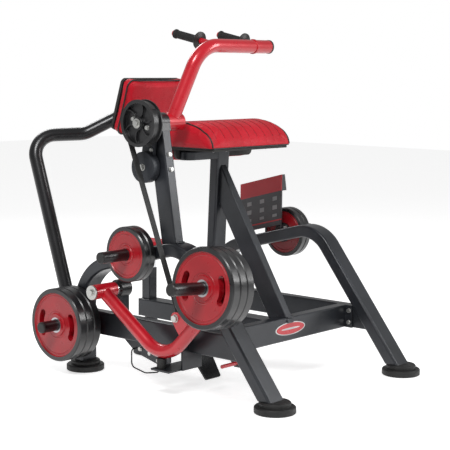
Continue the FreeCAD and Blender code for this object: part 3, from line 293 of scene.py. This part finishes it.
def placard_finish(name, front, top, low):
    """Generic red heading band, charcoal panel, thin red line and plain pictogram blocks."""
    g = Graph(name)
    g.rounded(0.001)
    x, y, z = g.split()
    level = g.math("ADD", z, g.math("MULTIPLY", g.math("SUBTRACT", y, front), 0.2535))
    down = g.math("SUBTRACT", top, level)
    band = g.ramp(down, 0.0735, 0.0745, 1.0, 0.0)
    line = g.math("MULTIPLY", g.ramp(down, 0.205, 0.206), g.ramp(down, 0.211, 0.212, 1.0, 0.0))
    red = g.math("MAXIMUM", band, line)
    inner = g.math("LESS_THAN", x, low)
    red = g.math("MULTIPLY", red, inner)
    across = g.math("SUBTRACT", y, front)
    cell = g.math("FRACT", g.math("MULTIPLY", across, 13.0))
    bar = g.math("MULTIPLY", g.ramp(cell, 0.30, 0.31), g.ramp(cell, 0.64, 0.65, 1.0, 0.0))
    rows = g.math("FRACT", g.math("MULTIPLY", down, 24.0))
    rows = g.math("MULTIPLY", g.ramp(rows, 0.25, 0.27), g.ramp(rows, 0.73, 0.75, 1.0, 0.0))
    area = g.math("MULTIPLY", g.ramp(down, 0.095, 0.096), g.ramp(down, 0.190, 0.191, 1.0, 0.0))
    blocks = g.math("MULTIPLY", g.math("MULTIPLY", bar, rows), g.math("MULTIPLY", area, inner))
    cloud = g.noise(12.0, 4.0)
    dark = g.mix(cloud, (0.020, 0.020, 0.023), (0.045, 0.045, 0.052))
    color = g.mix(red, dark, (0.50, 0.005, 0.016))
    color = g.mix(g.math("MULTIPLY", blocks, 0.55), color, (0.45, 0.45, 0.46))
    g.set(Base_Color=color, Coat_Weight=0.3, Coat_Roughness=0.2)
    g.set(Roughness=g.ramp(g.noise(40.0), 0.3, 0.7, 0.32, 0.45))
    g.bump((g.noise(800.0), 0.1, 0.0004))
    return g.mat


FRAME_PAINT = powder_coat("charcoal_coat", (0.013, 0.015, 0.019), (0.026, 0.029, 0.036), 0.36, 0.35)
BLACK_PAINT = powder_coat("black_coat", (0.005, 0.005, 0.006), (0.011, 0.011, 0.013), 0.30, 0.45, 0.4)
IRON_PAINT = powder_coat("counterweight_coat", (0.022, 0.025, 0.031), (0.042, 0.046, 0.055), 0.5, 0.1, 0.4)
CAST_BLACK = powder_coat("cast_black", (0.010, 0.010, 0.011), (0.022, 0.022, 0.024), 0.36, 0.4, 0.4)
RED = gloss_red("gloss_red_coat")
ZINC = metal("zinc_plate", (0.60, 0.60, 0.58), 0.34, (1.0, 1.0, 4.0))
CHROME = metal("ground_steel", (0.72, 0.72, 0.74), 0.16, (1.0, 30.0, 30.0))
DARK_STEEL = metal("blackened_steel", (0.14, 0.14, 0.15), 0.38)
FOOT_RUBBER = rubber("foot_rubber", 0.012, 0.55)
GRIP_RUBBER = rubber("grip_rubber", 0.010, 0.72, 620.0, 0.6)
PLASTIC = rubber("moulded_plastic", 0.012, 0.40, 900.0, 0.15)
PIPING = rubber("piping_vinyl", 0.008, 0.38, 500.0, 0.3)
THREAD = rubber("thread", 0.012, 0.7, 900.0, 0.2)
RED_VINYL = vinyl("red_leatherette", (0.50, 0.003, 0.014), (0.66, 0.006, 0.024))
BOARD = board_finish("painted_plywood")
BELT = webbing("belt_weave", 0.014)
PLACARD = placard_finish("placard_print", at(0, 0.150, 0).y, at(0, 0, 0.830).z, at(0.4435, 0, 0).x)

TILT = math.radians(5.0)
LARGE = (0.1575, 0.020, 0.048)
SMALL = (0.115, 0.017, 0.036)
plate_places = {
    "rear_plates": (at(-0.48, 0.5365, 0.220), (1.0, 0.0, 0.0), LARGE),
    "right_top_plates": (at(-0.48, 0.170, 0.556), (1.0, 0.0, 0.0), SMALL),
    "left_top_plates": (at(0.48, 0.170, 0.556), (1.0, 0.0, 0.0), SMALL),
    "loaded_plates": (at(-0.54, -0.389, 0.487), (-math.cos(TILT), 0.0, math.sin(TILT)), LARGE),
}
nodes_with = (
    (FRAME_PAINT, "right_arch left_arch base_beams front_crossbeam centre_beam centre_post front_brace"),
    (FRAME_PAINT, "side_post lever_post pad_bracket stop_bracket latch_bracket pedal_ears seat_post"),
    (BLACK_PAINT, "storage_horns load_horn back_tube lever_block pivot_housing pedal"),
    (IRON_PAINT, "counterweight"),
    (CAST_BLACK, "wheel"),
    (FOOT_RUBBER, "feet stop_bumper"),
    (PLASTIC, "horn_caps load_horn_cap arm_end_cap hand_guards"),
    (ZINC, "lever_cap frame_bolts rotor_bolts anchor_bolt"),
    (DARK_STEEL, "seat_pin"),
    (CHROME, "lever_pin pivot_shaft pivot_bearings seat_stem"),
    (RED, "arm_collar arm_tube handle_rods lever_tube lever_hub pedal_rods"),
    (BELT, "belt_wrap belt_span"),
    (PIPING, "latch_cable"),
    (BOARD, "pad_boards backrest_board seat_board"),
    (PLACARD, "placard"),
    (GRIP_RUBBER, "grips"),
    (RED_VINYL, "elbow_pad chest_pad backrest_pad seat_pad"),
)
finish_of = {node: finish for finish, names in nodes_with for node in names.split()}
for plates, (centre, axis, (radius, rim, hub)) in plate_places.items():
    finish_of[plates] = plate_finish(plates + "_finish", centre, axis, radius, rim, hub)
for name, finish in finish_of.items():
    mesh = nodes[name].data
    mesh.materials.clear()
    mesh.materials.append(finish)


# ---------------------------------------------------------------- mesh helpers
def make(name, verts, faces, finish, body, smooth=True):
    mesh = bpy.data.meshes.new(name)
    mesh.from_pydata([tuple(v) for v in verts], [], faces)
    mesh.validate()
    obj = bpy.data.objects.new(name, mesh)
    bpy.context.scene.collection.objects.link(obj)
    bm = bmesh.new()
    bm.from_mesh(mesh)
    bmesh.ops.recalc_face_normals(bm, faces=bm.faces)
    bm.to_mesh(mesh)
    bm.free()
    mesh.materials.append(finish)
    if smooth:
        mesh.polygons.foreach_set("use_smooth", [True] * len(mesh.polygons))
    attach(obj, body)
    return obj


def turned(profile, origin, axis, segments=72):
    """Rings round an axis: profile is (along, radius)."""
    axis = Vector(axis).normalized()
    side = axis.orthogonal().normalized()
    other = axis.cross(side)
    verts, faces = [], []
    for along, radius in profile:
        for k in range(segments):
            a = 2 * math.pi * k / segments
            verts.append(Vector(origin) + axis * along + (side * math.cos(a) + other * math.sin(a)) * radius)
    for i in range(len(profile) - 1):
        for k in range(segments):
            m = (k + 1) % segments
            faces.append((i * segments + k, i * segments + m, (i + 1) * segments + m, (i + 1) * segments + k))
    faces.append(tuple(range(segments))[::-1])
    faces.append(tuple((len(profile) - 1) * segments + k for k in range(segments)))
    return verts, faces


def tube_along(points, radius, sides=10, closed=False, lump=0.0):
    """Round cord of mesh along points, with parallel carried rings."""
    points = [Vector(p) for p in points]
    count = len(points)
    verts, faces = [], []
    normal = None
    for i, p in enumerate(points):
        ahead = points[(i + 1) % count] if closed or i < count - 1 else p
        behind = points[i - 1] if closed or i > 0 else p
        way = (ahead - behind).normalized()
        normal = way.orthogonal() if normal is None else normal - way * normal.dot(way)
        normal.normalize()
        other = way.cross(normal)
        r = radius * (1.0 + lump * math.sin(i * 1.9))
        for k in range(sides):
            a = 2 * math.pi * k / sides
            verts.append(p + (normal * math.cos(a) + other * math.sin(a)) * r)
    for i in range(count if closed else count - 1):
        j = (i + 1) % count
        for k in range(sides):
            m = (k + 1) % sides
            faces.append((i * sides + k, i * sides + m, j * sides + m, j * sides + k))
    if not closed:
        faces.append(tuple(range(sides))[::-1])
        faces.append(tuple((count - 1) * sides + k for k in range(sides)))
    return verts, faces


def weld(name, points, body, finish, radius=0.0035, closed=False):
    """A rippled weld bead."""
    dense = []
    span = len(points) if closed else len(points) - 1
    for i in range(span):
        a, b = Vector(points[i]), Vector(points[(i + 1) % len(points)])
        steps = max(1, int((b - a).length / 0.0028))
        dense += [a.lerp(b, k / steps) for k in range(steps)]
    if not closed:
        dense.append(Vector(points[-1]))
    verts, faces = tube_along(dense, radius, 8, closed, 0.16)
    return make(name, verts, faces, finish, body)


# ---------------------------------------------------------------- cushions
def loft(sections):
    """Closed skin over equal rings of points."""
    verts, faces = [], []
    n = len(sections[0])
    for ring in sections:
        verts += ring
    for i in range(len(sections) - 1):
        for k in range(n):
            m = (k + 1) % n
            faces.append((i * n + k, i * n + m, (i + 1) * n + m, (i + 1) * n + k))
    faces.append(tuple(range(n))[::-1])
    faces.append(tuple((len(sections) - 1) * n + k for k in range(n)))
    return verts, faces


def rounded_loop(width, height, corner, per_corner=8, pull=0.0):
    """Loop of (u, v) round a rectangle; pull draws the sides in between the corners."""
    loop = []
    for cx, cy, start in ((1, 1, 0), (-1, 1, 90), (-1, -1, 180), (1, -1, 270)):
        for k in range(per_corner):
            a = math.radians(start + 90 * k / (per_corner - 1))
            loop.append((cx * (width / 2 - corner) + corner * math.cos(a),
                         cy * (height / 2 - corner) + corner * math.sin(a)))
    dense = []
    for i, (u, v) in enumerate(loop):
        un, vn = loop[(i + 1) % len(loop)]
        steps = max(1, int(math.hypot(un - u, vn - v) / 0.02))
        for k in range(steps):
            dense.append((u + (un - u) * k / steps, v + (vn - v) * k / steps))
    if pull:
        dense = [(u * (1 - pull * (1 - min(1, abs(2 * v / height)) ** 2)),
                  v * (1 - pull * (1 - min(1, abs(2 * u / width)) ** 2))) for u, v in dense]
    return dense


def puff(obj, voxel, cap, pressure=4.0, hold=None):
    """Foam under its cover: remesh, inflate as cloth, cap the movement, then smooth."""
    bpy.context.view_layer.objects.active = obj
    remesh = obj.modifiers.new("remesh", "REMESH")
    remesh.mode = "VOXEL"
    remesh.voxel_size = voxel
    bake(obj)
    rest = [v.co.copy() for v in obj.data.vertices]
    if hold:
        group = obj.vertex_groups.new(name="held")
        group.add([i for i, co in enumerate(rest) if hold(co)], 1.0, "REPLACE")
    cloth = obj.modifiers.new("cloth", "CLOTH")
    cloth.settings.use_pressure = True
    cloth.settings.uniform_pressure_force = pressure
    cloth.settings.effector_weights.gravity = 0.0
    cloth.settings.quality = 4
    cloth.settings.tension_stiffness = 40.0
    cloth.settings.compression_stiffness = 40.0
    cloth.collision_settings.use_collision = False
    if hold:
        cloth.settings.vertex_group_mass = "held"
    scene = bpy.context.scene
    for step in range(1, 21):
        scene.frame_set(step)
    bake(obj)
    for v, start in zip(obj.data.vertices, rest):
        move = v.co - start
        if move.length > cap:
            v.co = start + move.normalized() * cap
    scene.frame_set(1)
    smooth = obj.modifiers.new("smooth", "SMOOTH")
    smooth.iterations = 3
    bake(obj)


def bake(obj):
    """Applies what the modifiers show."""
    graph = bpy.context.evaluated_depsgraph_get()
    result = bpy.data.meshes.new_from_object(obj.evaluated_get(graph))
    result.name = obj.name
    for m in list(obj.modifiers):
        obj.modifiers.remove(m)
    old = obj.data
    finish = old.materials[0]
    obj.data = result
    if not result.materials:
        result.materials.append(finish)
    bpy.data.meshes.remove(old)
    result.polygons.foreach_set("use_smooth", [True] * len(result.polygons))


BLACK_VINYL = vinyl("black_leatherette", (0.010, 0.010, 0.011), (0.018, 0.018, 0.020))


def cushion(name, node, origin, u, v, w, loop, layers, cap, body="frame", side=None, hold=None):
    """Crowned pad: loop is (u, v) points, layers are (height along w, inset); side picks the black faces."""
    origin, u, v, w = Vector(origin), Vector(u), Vector(v), Vector(w)
    mid_u = sum(p[0] for p in loop) / len(loop)
    mid_v = sum(p[1] for p in loop) / len(loop)
    sections = []
    for height, inset in layers:
        ring = []
        for a, b in loop:
            away = math.hypot(a - mid_u, b - mid_v)
            k = 1.0 - inset / max(away, 1e-6)
            ring.append(origin + u * (mid_u + (a - mid_u) * k) + v * (mid_v + (b - mid_v) * k) + w * height)
        sections.append(ring)
    verts, faces = loft(sections)
    pad = make(name, verts, faces, RED_VINYL, body)
    puff(pad, 0.0055, cap, 4.0, hold)
    dense = pad.modifiers.new("dense", "SUBSURF")
    dense.levels = 1
    dense.render_levels = 1
    bake(pad)
    if side:
        pad.data.materials.append(BLACK_VINYL)
        for face in pad.data.polygons:
            if side(face.center, face.normal):
                face.material_index = 1
    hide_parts(node)
    return pad


def piping(name, pad, body, radius=0.0033):
    """Welt cord; its points already lie on the pad."""
    verts, faces = tube_along(pad, radius, 10, True)
    return make(name, verts, faces, PIPING, body)


THREAD_RADIUS = 0.00075


def stitches(name, points, body, lift):
    """A row of short threads lying on the cover."""
    verts, faces = [], []
    rise = ((0.12, 0.0), (0.3, 0.0006), (0.7, 0.0006), (0.88, 0.0))
    for a, b in zip(points, points[1:]):
        part_verts, part_faces = tube_along([a.lerp(b, t) + lift * h for t, h in rise], THREAD_RADIUS, 6)
        base = len(verts)
        verts += part_verts
        faces += [tuple(base + q for q in f) for f in part_faces]
    return make(name, verts, faces, THREAD, body)


# elbow pad: half-barrel crest, flat underside on the board
HALF = 0.262
FRONT, REAR, LOW, CREST_Y, CREST, REAR_Z = -0.050, 0.270, 0.983, 0.150, 1.100, 1.022


def elbow_height(y):
    if y <= CREST_Y:
        t = max(0.0, 1 - ((CREST_Y - y) / (CREST_Y - FRONT)) ** 2)
        return LOW + (CREST - LOW) * math.sqrt(t)
    t = (y - CREST_Y) / (REAR - CREST_Y)
    return CREST - (CREST - REAR_Z) * (0.55 * t + 0.45 * t * t)


def elbow_loop(inset):
    """Cross-section of the elbow pad, drawn in by inset, as (y, z)."""
    loop = []
    for k in range(22):
        a = math.radians(90 * k / 21)
        y = CREST_Y - (CREST_Y - FRONT - inset) * math.cos(a)
        loop.append((y, LOW + 0.004 + (CREST - LOW - inset - 0.004) * math.sin(a)))
    for k in range(1, 11):
        y = CREST_Y + (REAR - inset - CREST_Y) * k / 10
        loop.append((y, elbow_height(y) - inset))
    loop.append((REAR - inset, LOW + 0.012))
    loop.append((REAR - inset - 0.004, LOW + 0.002))
    for k in range(1, 14):
        loop.append((REAR - 0.01 + (FRONT + 0.02 - REAR) * k / 13, LOW + 0.0005))
    return loop


SEAM_STEP, SEAM_WIDTH, SEAM_DEPTH = 0.0524, 0.0042, 0.0016
STITCH = 0.0055
SEAM_START, SEAM_TURN = 8, 1.45            # degrees round the pad's core
PIPE_RADIUS, RIM_PIPE_RADIUS = 0.0034, 0.0028
seam_xs = [-HALF + 0.052 + SEAM_STEP * k for k in range(9)]


def elbow_groove(co):
    """Sewn channels, front to back, that sink into the foam."""
    x = co.x - SHIFT.x
    z = co.z
    if z < LOW + 0.012:
        return (0, 0, 0)
    sink = sum(math.exp(-((x - s) / SEAM_WIDTH) ** 2) for s in seam_xs) * SEAM_DEPTH
    y = co.y - SHIFT.y
    out = Vector((0, (y - CREST_Y) / 0.2, max(0.15, (z - LOW) / 0.11))).normalized()
    return (0, out.y * sink, out.z * sink)


ends = [(-HALF + 0.003, 0.012), (-HALF + 0.006, 0.006), (-HALF + 0.014, 0.004)]
xs = ends + [(-HALF + 0.04 + 0.0403 * k, 0.004) for k in range(12)] + [(-x, i) for x, i in reversed(ends)]
sections = [[at(x, y, z) for y, z in elbow_loop(inset)] for x, inset in xs]
verts, faces = loft(sections)
elbow = make("elbow_cushion", verts, faces, RED_VINYL, "frame")
puff(elbow, 0.0055, 0.006, 4.0, lambda co: co.z < LOW + 0.004)
finer = elbow.modifiers.new("dense", "SUBSURF")
finer.levels = 1
finer.render_levels = 1
bake(elbow)
for vert in elbow.data.vertices:
    vert.co -= Vector(elbow_groove(vert.co))
elbow.data.materials.append(BLACK_VINYL)
for face in elbow.data.polygons:
    if face.normal.z < -0.75:
        face.material_index = 1
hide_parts("elbow_pad")
skin = BVHTree.FromObject(elbow, bpy.context.evaluated_depsgraph_get())
middle = at(0, 0.14, LOW + 0.02)


def on_skin(x, turn):
    """Point of the elbow cushion's surface seen from its core at an angle from the front."""
    core = Vector((x + SHIFT.x, middle.y, middle.z))
    way = Vector((0, -math.cos(turn), math.sin(turn)))
    hit = skin.ray_cast(core + way * 0.5, -way)
    return (hit[0] if hit[0] is not None else core + way * 0.1), way


for k, x in enumerate(seam_xs):
    row = [on_skin(x, math.radians(SEAM_START + SEAM_TURN * i))[0] for i in range(111)]
    holes = [row[0]]
    for p in row[1:]:
        if (p - holes[-1]).length > STITCH:
            holes.append(p)
    stitches("elbow_stitches_%d" % k, holes, "frame", Vector((0, 0, 1)))
for side, tag in ((-1, "right"), (1, "left")):
    loop = []
    for i in range(80):
        p, way = on_skin(side * (HALF - 0.010), math.radians(-4 + 184 * i / 79))
        loop.append(p + way * 0.0010)
    verts, faces = tube_along(loop, PIPE_RADIUS, 10)
    make("elbow_piping_" + tag, verts, faces, PIPING, "frame")
rim_loop = rounded_loop(2 * HALF - 0.014, REAR - FRONT - 0.014, 0.012, 6)
rim_points = [at(u, (REAR + FRONT) / 2 + v, LOW + 0.0035) for u, v in rim_loop]
verts, faces = tube_along(rim_points, RIM_PIPE_RADIUS, 8, True)
make("elbow_piping_low", verts, faces, PIPING, "frame")

# chest pad, hung behind the centre post
CHEST_HALF, CHEST_CORNER, CHEST_LOW, CHEST_TOP = HALF - 0.004, 0.030, 0.0035, 0.0455
corners = []
for cx, start in ((-1, 180), (1, 270)):
    for k in range(10):
        a = math.radians(start + 90 * k / 9)
        corners.append((cx * (CHEST_HALF - CHEST_CORNER) + CHEST_CORNER * math.cos(a),
                        CHEST_LOW + CHEST_CORNER + CHEST_CORNER * math.sin(a)))
loop = corners[:10]
for k in range(1, 24):
    loop.append((-HALF + 0.034 + (2 * HALF - 0.068) * k / 24, CHEST_LOW))
loop += corners[10:] + [(CHEST_HALF, 0.044)]
loop += [(HALF - 0.006 - (2 * HALF - 0.012) * k / 26, CHEST_TOP) for k in range(27)]
loop.append((-CHEST_HALF, 0.044))
cushion("chest_cushion", "chest_pad", at(0, 0.1843, 0.925), (1, 0, 0), (0, 0, 1), (0, 1, 0), loop,
        [(0.001, 0.004), (0.006, 0.001), (0.015, 0.0), (0.03, 0.0), (0.045, 0.0), (0.055, 0.004),
         (0.060, 0.012)],
        0.003, hold=lambda co: co.z > 0.968)

# backrest
LEAN = math.radians(17.7)
BACK_UP = Vector((0, -math.sin(LEAN), math.cos(LEAN)))
BACK_OUT = Vector((0, math.cos(LEAN), math.sin(LEAN)))
back_mid = at(0, 0.575, 1.010) + BACK_UP * 0.1325
back_loop = rounded_loop(0.392, 0.257, 0.036, 8, 0.012)
cushion("backrest_cushion", "backrest_pad", back_mid, (1, 0, 0), BACK_UP, BACK_OUT, back_loop,
        [(0.008, 0.020), (0.010, 0.008), (0.016, 0.002), (0.025, 0.0), (0.040, 0.0), (0.048, 0.001),
         (0.0515, 0.004)],
        0.008, side=lambda c, n: n.dot(BACK_OUT) > 0.55)
back_line = [back_mid + Vector((1, 0, 0)) * u + BACK_UP * v + BACK_OUT * 0.0145
             for u, v in rounded_loop(0.388, 0.253, 0.034, 10, 0.012)]
piping("backrest_piping", back_line, "frame")

# seat
seat_foot = at(0, 0.605, 0.468)
seat_loop = rounded_loop(0.252, 0.212, 0.038, 8, 0.014)
cushion("seat_cushion", "seat_pad", seat_foot, (1, 0, 0), (0, 1, 0), (0, 0, 1), seat_loop,
        [(0.0005, 0.003), (0.006, 0.0), (0.026, 0.0), (0.036, 0.003), (0.043, 0.010), (0.0475, 0.024)],
        0.008, body="seat", side=lambda c, n: abs(n.z) < 0.5 or n.z < -0.5)
seat_line = [seat_foot + Vector((u, v, 0.040)) for u, v in rounded_loop(0.248, 0.208, 0.036, 10, 0.014)]
piping("seat_piping", seat_line, "seat")


# ---------------------------------------------------------------- belt
PIVOT = at(0, 0.0934, 1.096)
TANGENT = at(0, 0.1745943, 1.0633850)
ANCHOR = at(0, -0.120, 0.330)
belt_way = (ANCHOR - TANGENT).normalized()
belt_out = belt_way.cross(Vector((1, 0, 0))).normalized()
belt_x = at(-0.531, 0, 0).x
BELT_HALF, BELT_FLAT, BELT_SKIN, BELT_EDGE = 0.015, 0.0144, 0.0013, 0.0006
BELT_STEPS, EYE_ROOM = 60, 0.012
profile = [(-BELT_HALF, -BELT_EDGE), (-BELT_FLAT, -BELT_SKIN)]
profile += [(BELT_FLAT, -BELT_SKIN), (BELT_HALF, -BELT_EDGE)]
profile += [(-a, -b) for a, b in profile]
length = (ANCHOR - TANGENT).length - EYE_ROOM
verts, faces = [], []
for i in range(BELT_STEPS + 1):
    p = TANGENT + belt_way * (length * i / BELT_STEPS)
    for a, b in profile:
        verts.append(Vector((belt_x + a, p.y, p.z)) + belt_out * b)
for i in range(BELT_STEPS):
    for k in range(8):
        m = (k + 1) % 8
        faces.append((i * 8 + k, i * 8 + m, (i + 1) * 8 + m, (i + 1) * 8 + k))
faces.append(tuple(range(8))[::-1])
faces.append(tuple(BELT_STEPS * 8 + k for k in range(8)))
run = make("belt_run", verts, faces, BELT, "belt", False)
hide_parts("belt_span")
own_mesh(run)

# folded belt end round the anchor bolt
EYE_RADIUS, EYE_REACH, EYE_HALF_GAP, EYE_STEPS = 0.0115, 0.026, 0.0028, 25
top = ANCHOR - belt_way * EYE_REACH
outer = [top + belt_out * EYE_HALF_GAP]
for k in range(EYE_STEPS):
    a = math.radians(20 - 220 * k / (EYE_STEPS - 1))
    outer.append(ANCHOR + (belt_out * math.cos(a) - belt_way * math.sin(a)) * EYE_RADIUS)
outer.append(top - belt_out * EYE_HALF_GAP)
verts, faces = [], []
for p, q in zip(outer, outer[1:] + outer[-1:]):
    way = (q - p) if (q - p).length > 1e-7 else (outer[-1] - outer[-2])
    way.normalize()
    thick = way.cross(Vector((1, 0, 0))).normalized() * BELT_SKIN
    for a, b in ((-BELT_HALF, -1), (BELT_HALF, -1), (BELT_HALF, 1), (-BELT_HALF, 1)):
        verts.append(Vector((belt_x + a, p.y, p.z)) + thick * b)
for i in range(len(outer) - 1):
    for k in range(4):
        m = (k + 1) % 4
        faces.append((i * 4 + k, i * 4 + m, (i + 1) * 4 + m, (i + 1) * 4 + k))
faces.append((3, 2, 1, 0))
faces.append(tuple(len(verts) - 4 + k for k in range(4)))
make("belt_eye", verts, faces, BELT, "lever", False)

# ---------------------------------------------------------------- ribbed grips
RISE = math.radians(12.0)
RIB_PITCH, RIB_LOW, RIB_HIGH = 0.0035, 0.0168, 0.01745
GRIP_START, PLUG_START = 0.111, 0.2585     # from the bar's axis along the handle
handle = Vector((0, math.cos(RISE), math.sin(RISE)))
rib = [(0.0, 0.0133), (0.0, 0.0200), (0.002, 0.0205), (0.0065, 0.0205), (0.0085, 0.0180)]
for k in range(34):
    s = 0.0105 + RIB_PITCH * k
    rib += [(s, RIB_LOW), (s + 0.0011, RIB_HIGH), (s + 0.0022, RIB_HIGH), (s + 0.0033, RIB_LOW)]
rib += [(0.1315, 0.0180), (0.1335, 0.0205), (0.138, 0.0205), (0.140, 0.0200), (0.140, 0.0133)]
for sign, tag in ((-1, "right"), (1, "left")):
    root = at(sign * 0.145, 0.026, 1.411)
    verts, faces = turned(rib, root + handle * GRIP_START, handle, 64)
    grip = make("grip_" + tag, verts, faces[:-2], GRIP_RUBBER, "arm")
    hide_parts("grips")
    plug = [(0.0, 0.0), (0.0, 0.0128), (0.003, 0.0128), (0.0045, 0.0105), (0.005, 0.0)]
    verts, faces = turned([(a, max(r, 0.0002)) for a, r in plug], root + handle * PLUG_START, handle, 40)
    make("grip_plug_" + tag, verts, faces, PLASTIC, "arm")

# ---------------------------------------------------------------- oval badge, left plain
def oval(name, sunk, rx, rz, thick, finish):
    """Flat oval on the crossbeam's front face; sunk is how far its back stands off the beam."""
    verts, faces = turned([(0.0, 1.0), (thick * 0.6, 1.0), (thick, 0.96)], (0, 0, 0), (0, 0, 1), 64)
    foot = BADGE - Vector((0, sunk, 0))
    placed = [foot + Vector((v.x * rx, -v.z, v.y * rz)) for v in verts]
    return make(name, placed, faces, finish, "frame", False)


BADGE = at(0.005, -0.260, 0.2275)
WHITE = rubber("enamel_white", 0.62, 0.35, 900.0, 0.05)
oval("badge_border", 0.0, 0.100, 0.0275, 0.0012, WHITE)
oval("badge_face", 0.0011, 0.093, 0.0235, 0.0009, RED)
oval("badge_stripe", 0.0019, 0.062, 0.0042, 0.0006, WHITE)

# ---------------------------------------------------------------- welds
def frame_weld(name, points):
    weld(name, [at(*p) for p in points], "frame", FRAME_PAINT)


BEAM_TOP, CENTRE_TOP, ARCH_TOP = 0.2765, 0.2565, 0.6145
for s in (-1, 1):
    run = [(s * 0.0205, -0.258 + 0.0937 * k / 12 * 0.52, BEAM_TOP) for k in range(13)]
    frame_weld("brace_weld_%d" % s, run)
frame_weld("brace_weld_front", [(-0.019, -0.2615, BEAM_TOP), (0.019, -0.2615, BEAM_TOP)])
frame_weld("post_weld", [(-0.039, 0.1455, CENTRE_TOP), (0.039, 0.1455, CENTRE_TOP)])
for x in (-0.0415, 0.0415):
    frame_weld("post_weld_side_%d" % int(x * 1e4), [(x, 0.149, CENTRE_TOP), (x, 0.194, CENTRE_TOP)])
frame_weld("side_post_weld", [(x, -0.0315, ARCH_TOP) for x in (-0.459, -0.411)])
ARM_ROOT, ARM_CORNER = at(-0.358, 0.0934, 1.096), at(-0.251, 0.026, 1.411)
ARM_RADIUS, COLLAR_RADIUS = 0.0292, 0.0372
arm_way = (ARM_CORNER - ARM_ROOT).normalized()
ring_a = arm_way.orthogonal().normalized()
ring_b = arm_way.cross(ring_a)
seam = []
for k in range(60):
    a = 2 * math.pi * k / 60
    edge = (ring_a * math.cos(a) + ring_b * math.sin(a)) * ARM_RADIUS
    base = ARM_ROOT + edge
    flat = Vector((0, arm_way.y, arm_way.z))
    rel = Vector((0, base.y - PIVOT.y, base.z - PIVOT.z))
    qa, qb, qc = flat.dot(flat), 2 * rel.dot(flat), rel.dot(rel) - COLLAR_RADIUS ** 2
    t = (-qb + math.sqrt(max(0.0, qb * qb - 4 * qa * qc))) / (2 * qa)
    seam.append(base + arm_way * t)
weld("arm_root_weld", seam, "arm", RED, 0.0032, True)

# ---------------------------------------------------------------- screws under the elbow board
def screw(name, centre, radius):
    """Socket screw that points down."""
    profile = [(0.0, 1.0), (0.35, 1.0), (0.6, 0.7), (0.62, 0.45), (0.25, 0.42)]
    verts, faces = turned([(a * radius, r * radius) for a, r in profile], centre, (0, 0, -1), 24)
    make(name, verts, faces, ZINC, "frame", False)


BOARD_BOTTOM, POST_PLATE_BOTTOM = 0.9727, 0.9667
for i, x in enumerate((-0.21, -0.13, 0.13, 0.21)):
    for j, y in enumerate((-0.010, 0.120)):
        screw("board_screw_%d_%d" % (i, j), at(x, y, BOARD_BOTTOM), 0.0055)
for i, x in enumerate((-0.06, 0.06)):
    screw("post_plate_screw_%d" % i, at(x, 0.124, POST_PLATE_BOTTOM), 0.0075)


# ---------------------------------------------------------------- floor, light, background
def studio():
    floor_mesh = bpy.data.meshes.new("floor")
    half, low = 14.0, -0.0005
    corners = [(-half, -half, low), (half, -half, low), (half, half, low), (-half, half, low)]
    floor_mesh.from_pydata(corners, [], [(0, 1, 2, 3)])
    floor = bpy.data.objects.new("floor", floor_mesh)
    bpy.context.scene.collection.objects.link(floor)
    g = Graph("pale_floor")
    g.set(Base_Color=(0.86, 0.86, 0.86), Roughness=0.6)
    rays = g.tree.nodes.new("ShaderNodeLightPath")
    seen = g.math("MAXIMUM", rays.outputs["Is Camera Ray"], rays.outputs["Is Glossy Ray"])
    seen = g.math("MAXIMUM", seen, rays.outputs["Is Transmission Ray"])
    g.put(g.bsdf.inputs["Emission Color"], (1.0, 1.0, 1.0, 1.0))
    g.put(g.bsdf.inputs["Emission Strength"], g.math("MULTIPLY", seen, 0.60))
    floor_mesh.materials.append(g.mat)

    world = bpy.data.worlds.new("studio")
    bpy.context.scene.world = world
    world.use_nodes = True
    tree = world.node_tree
    back = tree.nodes["Background"]
    path = tree.nodes.new("ShaderNodeLightPath")
    pick = tree.nodes.new("ShaderNodeMath")
    pick.operation = "MAXIMUM"
    tree.links.new(path.outputs["Is Camera Ray"], pick.inputs[0])
    tree.links.new(path.outputs["Is Transmission Ray"], pick.inputs[1])
    level = tree.nodes.new("ShaderNodeMapRange")
    level.inputs["To Min"].default_value = 0.36
    level.inputs["To Max"].default_value = 1.0
    tree.links.new(pick.outputs[0], level.inputs["Value"])
    tree.links.new(level.outputs[0], back.inputs["Strength"])
    back.inputs["Color"].default_value = (1, 1, 1, 1)

    def lamp(name, place, aim, size, power):
        data = bpy.data.lights.new(name, "AREA")
        data.shape = "RECTANGLE"
        data.size, data.size_y = size
        data.energy = power
        obj = bpy.data.objects.new(name, data)
        bpy.context.scene.collection.objects.link(obj)
        obj.location = place
        obj.rotation_euler = (Vector(aim) - Vector(place)).to_track_quat("-Z", "Y").to_euler()

    centre = (0.0, 0.0, 0.8)
    lamp("key", (-3.2, -1.6, 4.0), centre, (1.6, 1.2), 135.0)
    lamp("side", (2.6, -3.4, 2.4), centre, (0.9, 2.2), 72.0)
    lamp("rear", (1.2, 3.6, 3.4), centre, (2.2, 1.4), 60.0)


studio()
bpy.context.scene.view_settings.view_transform = "Standard"
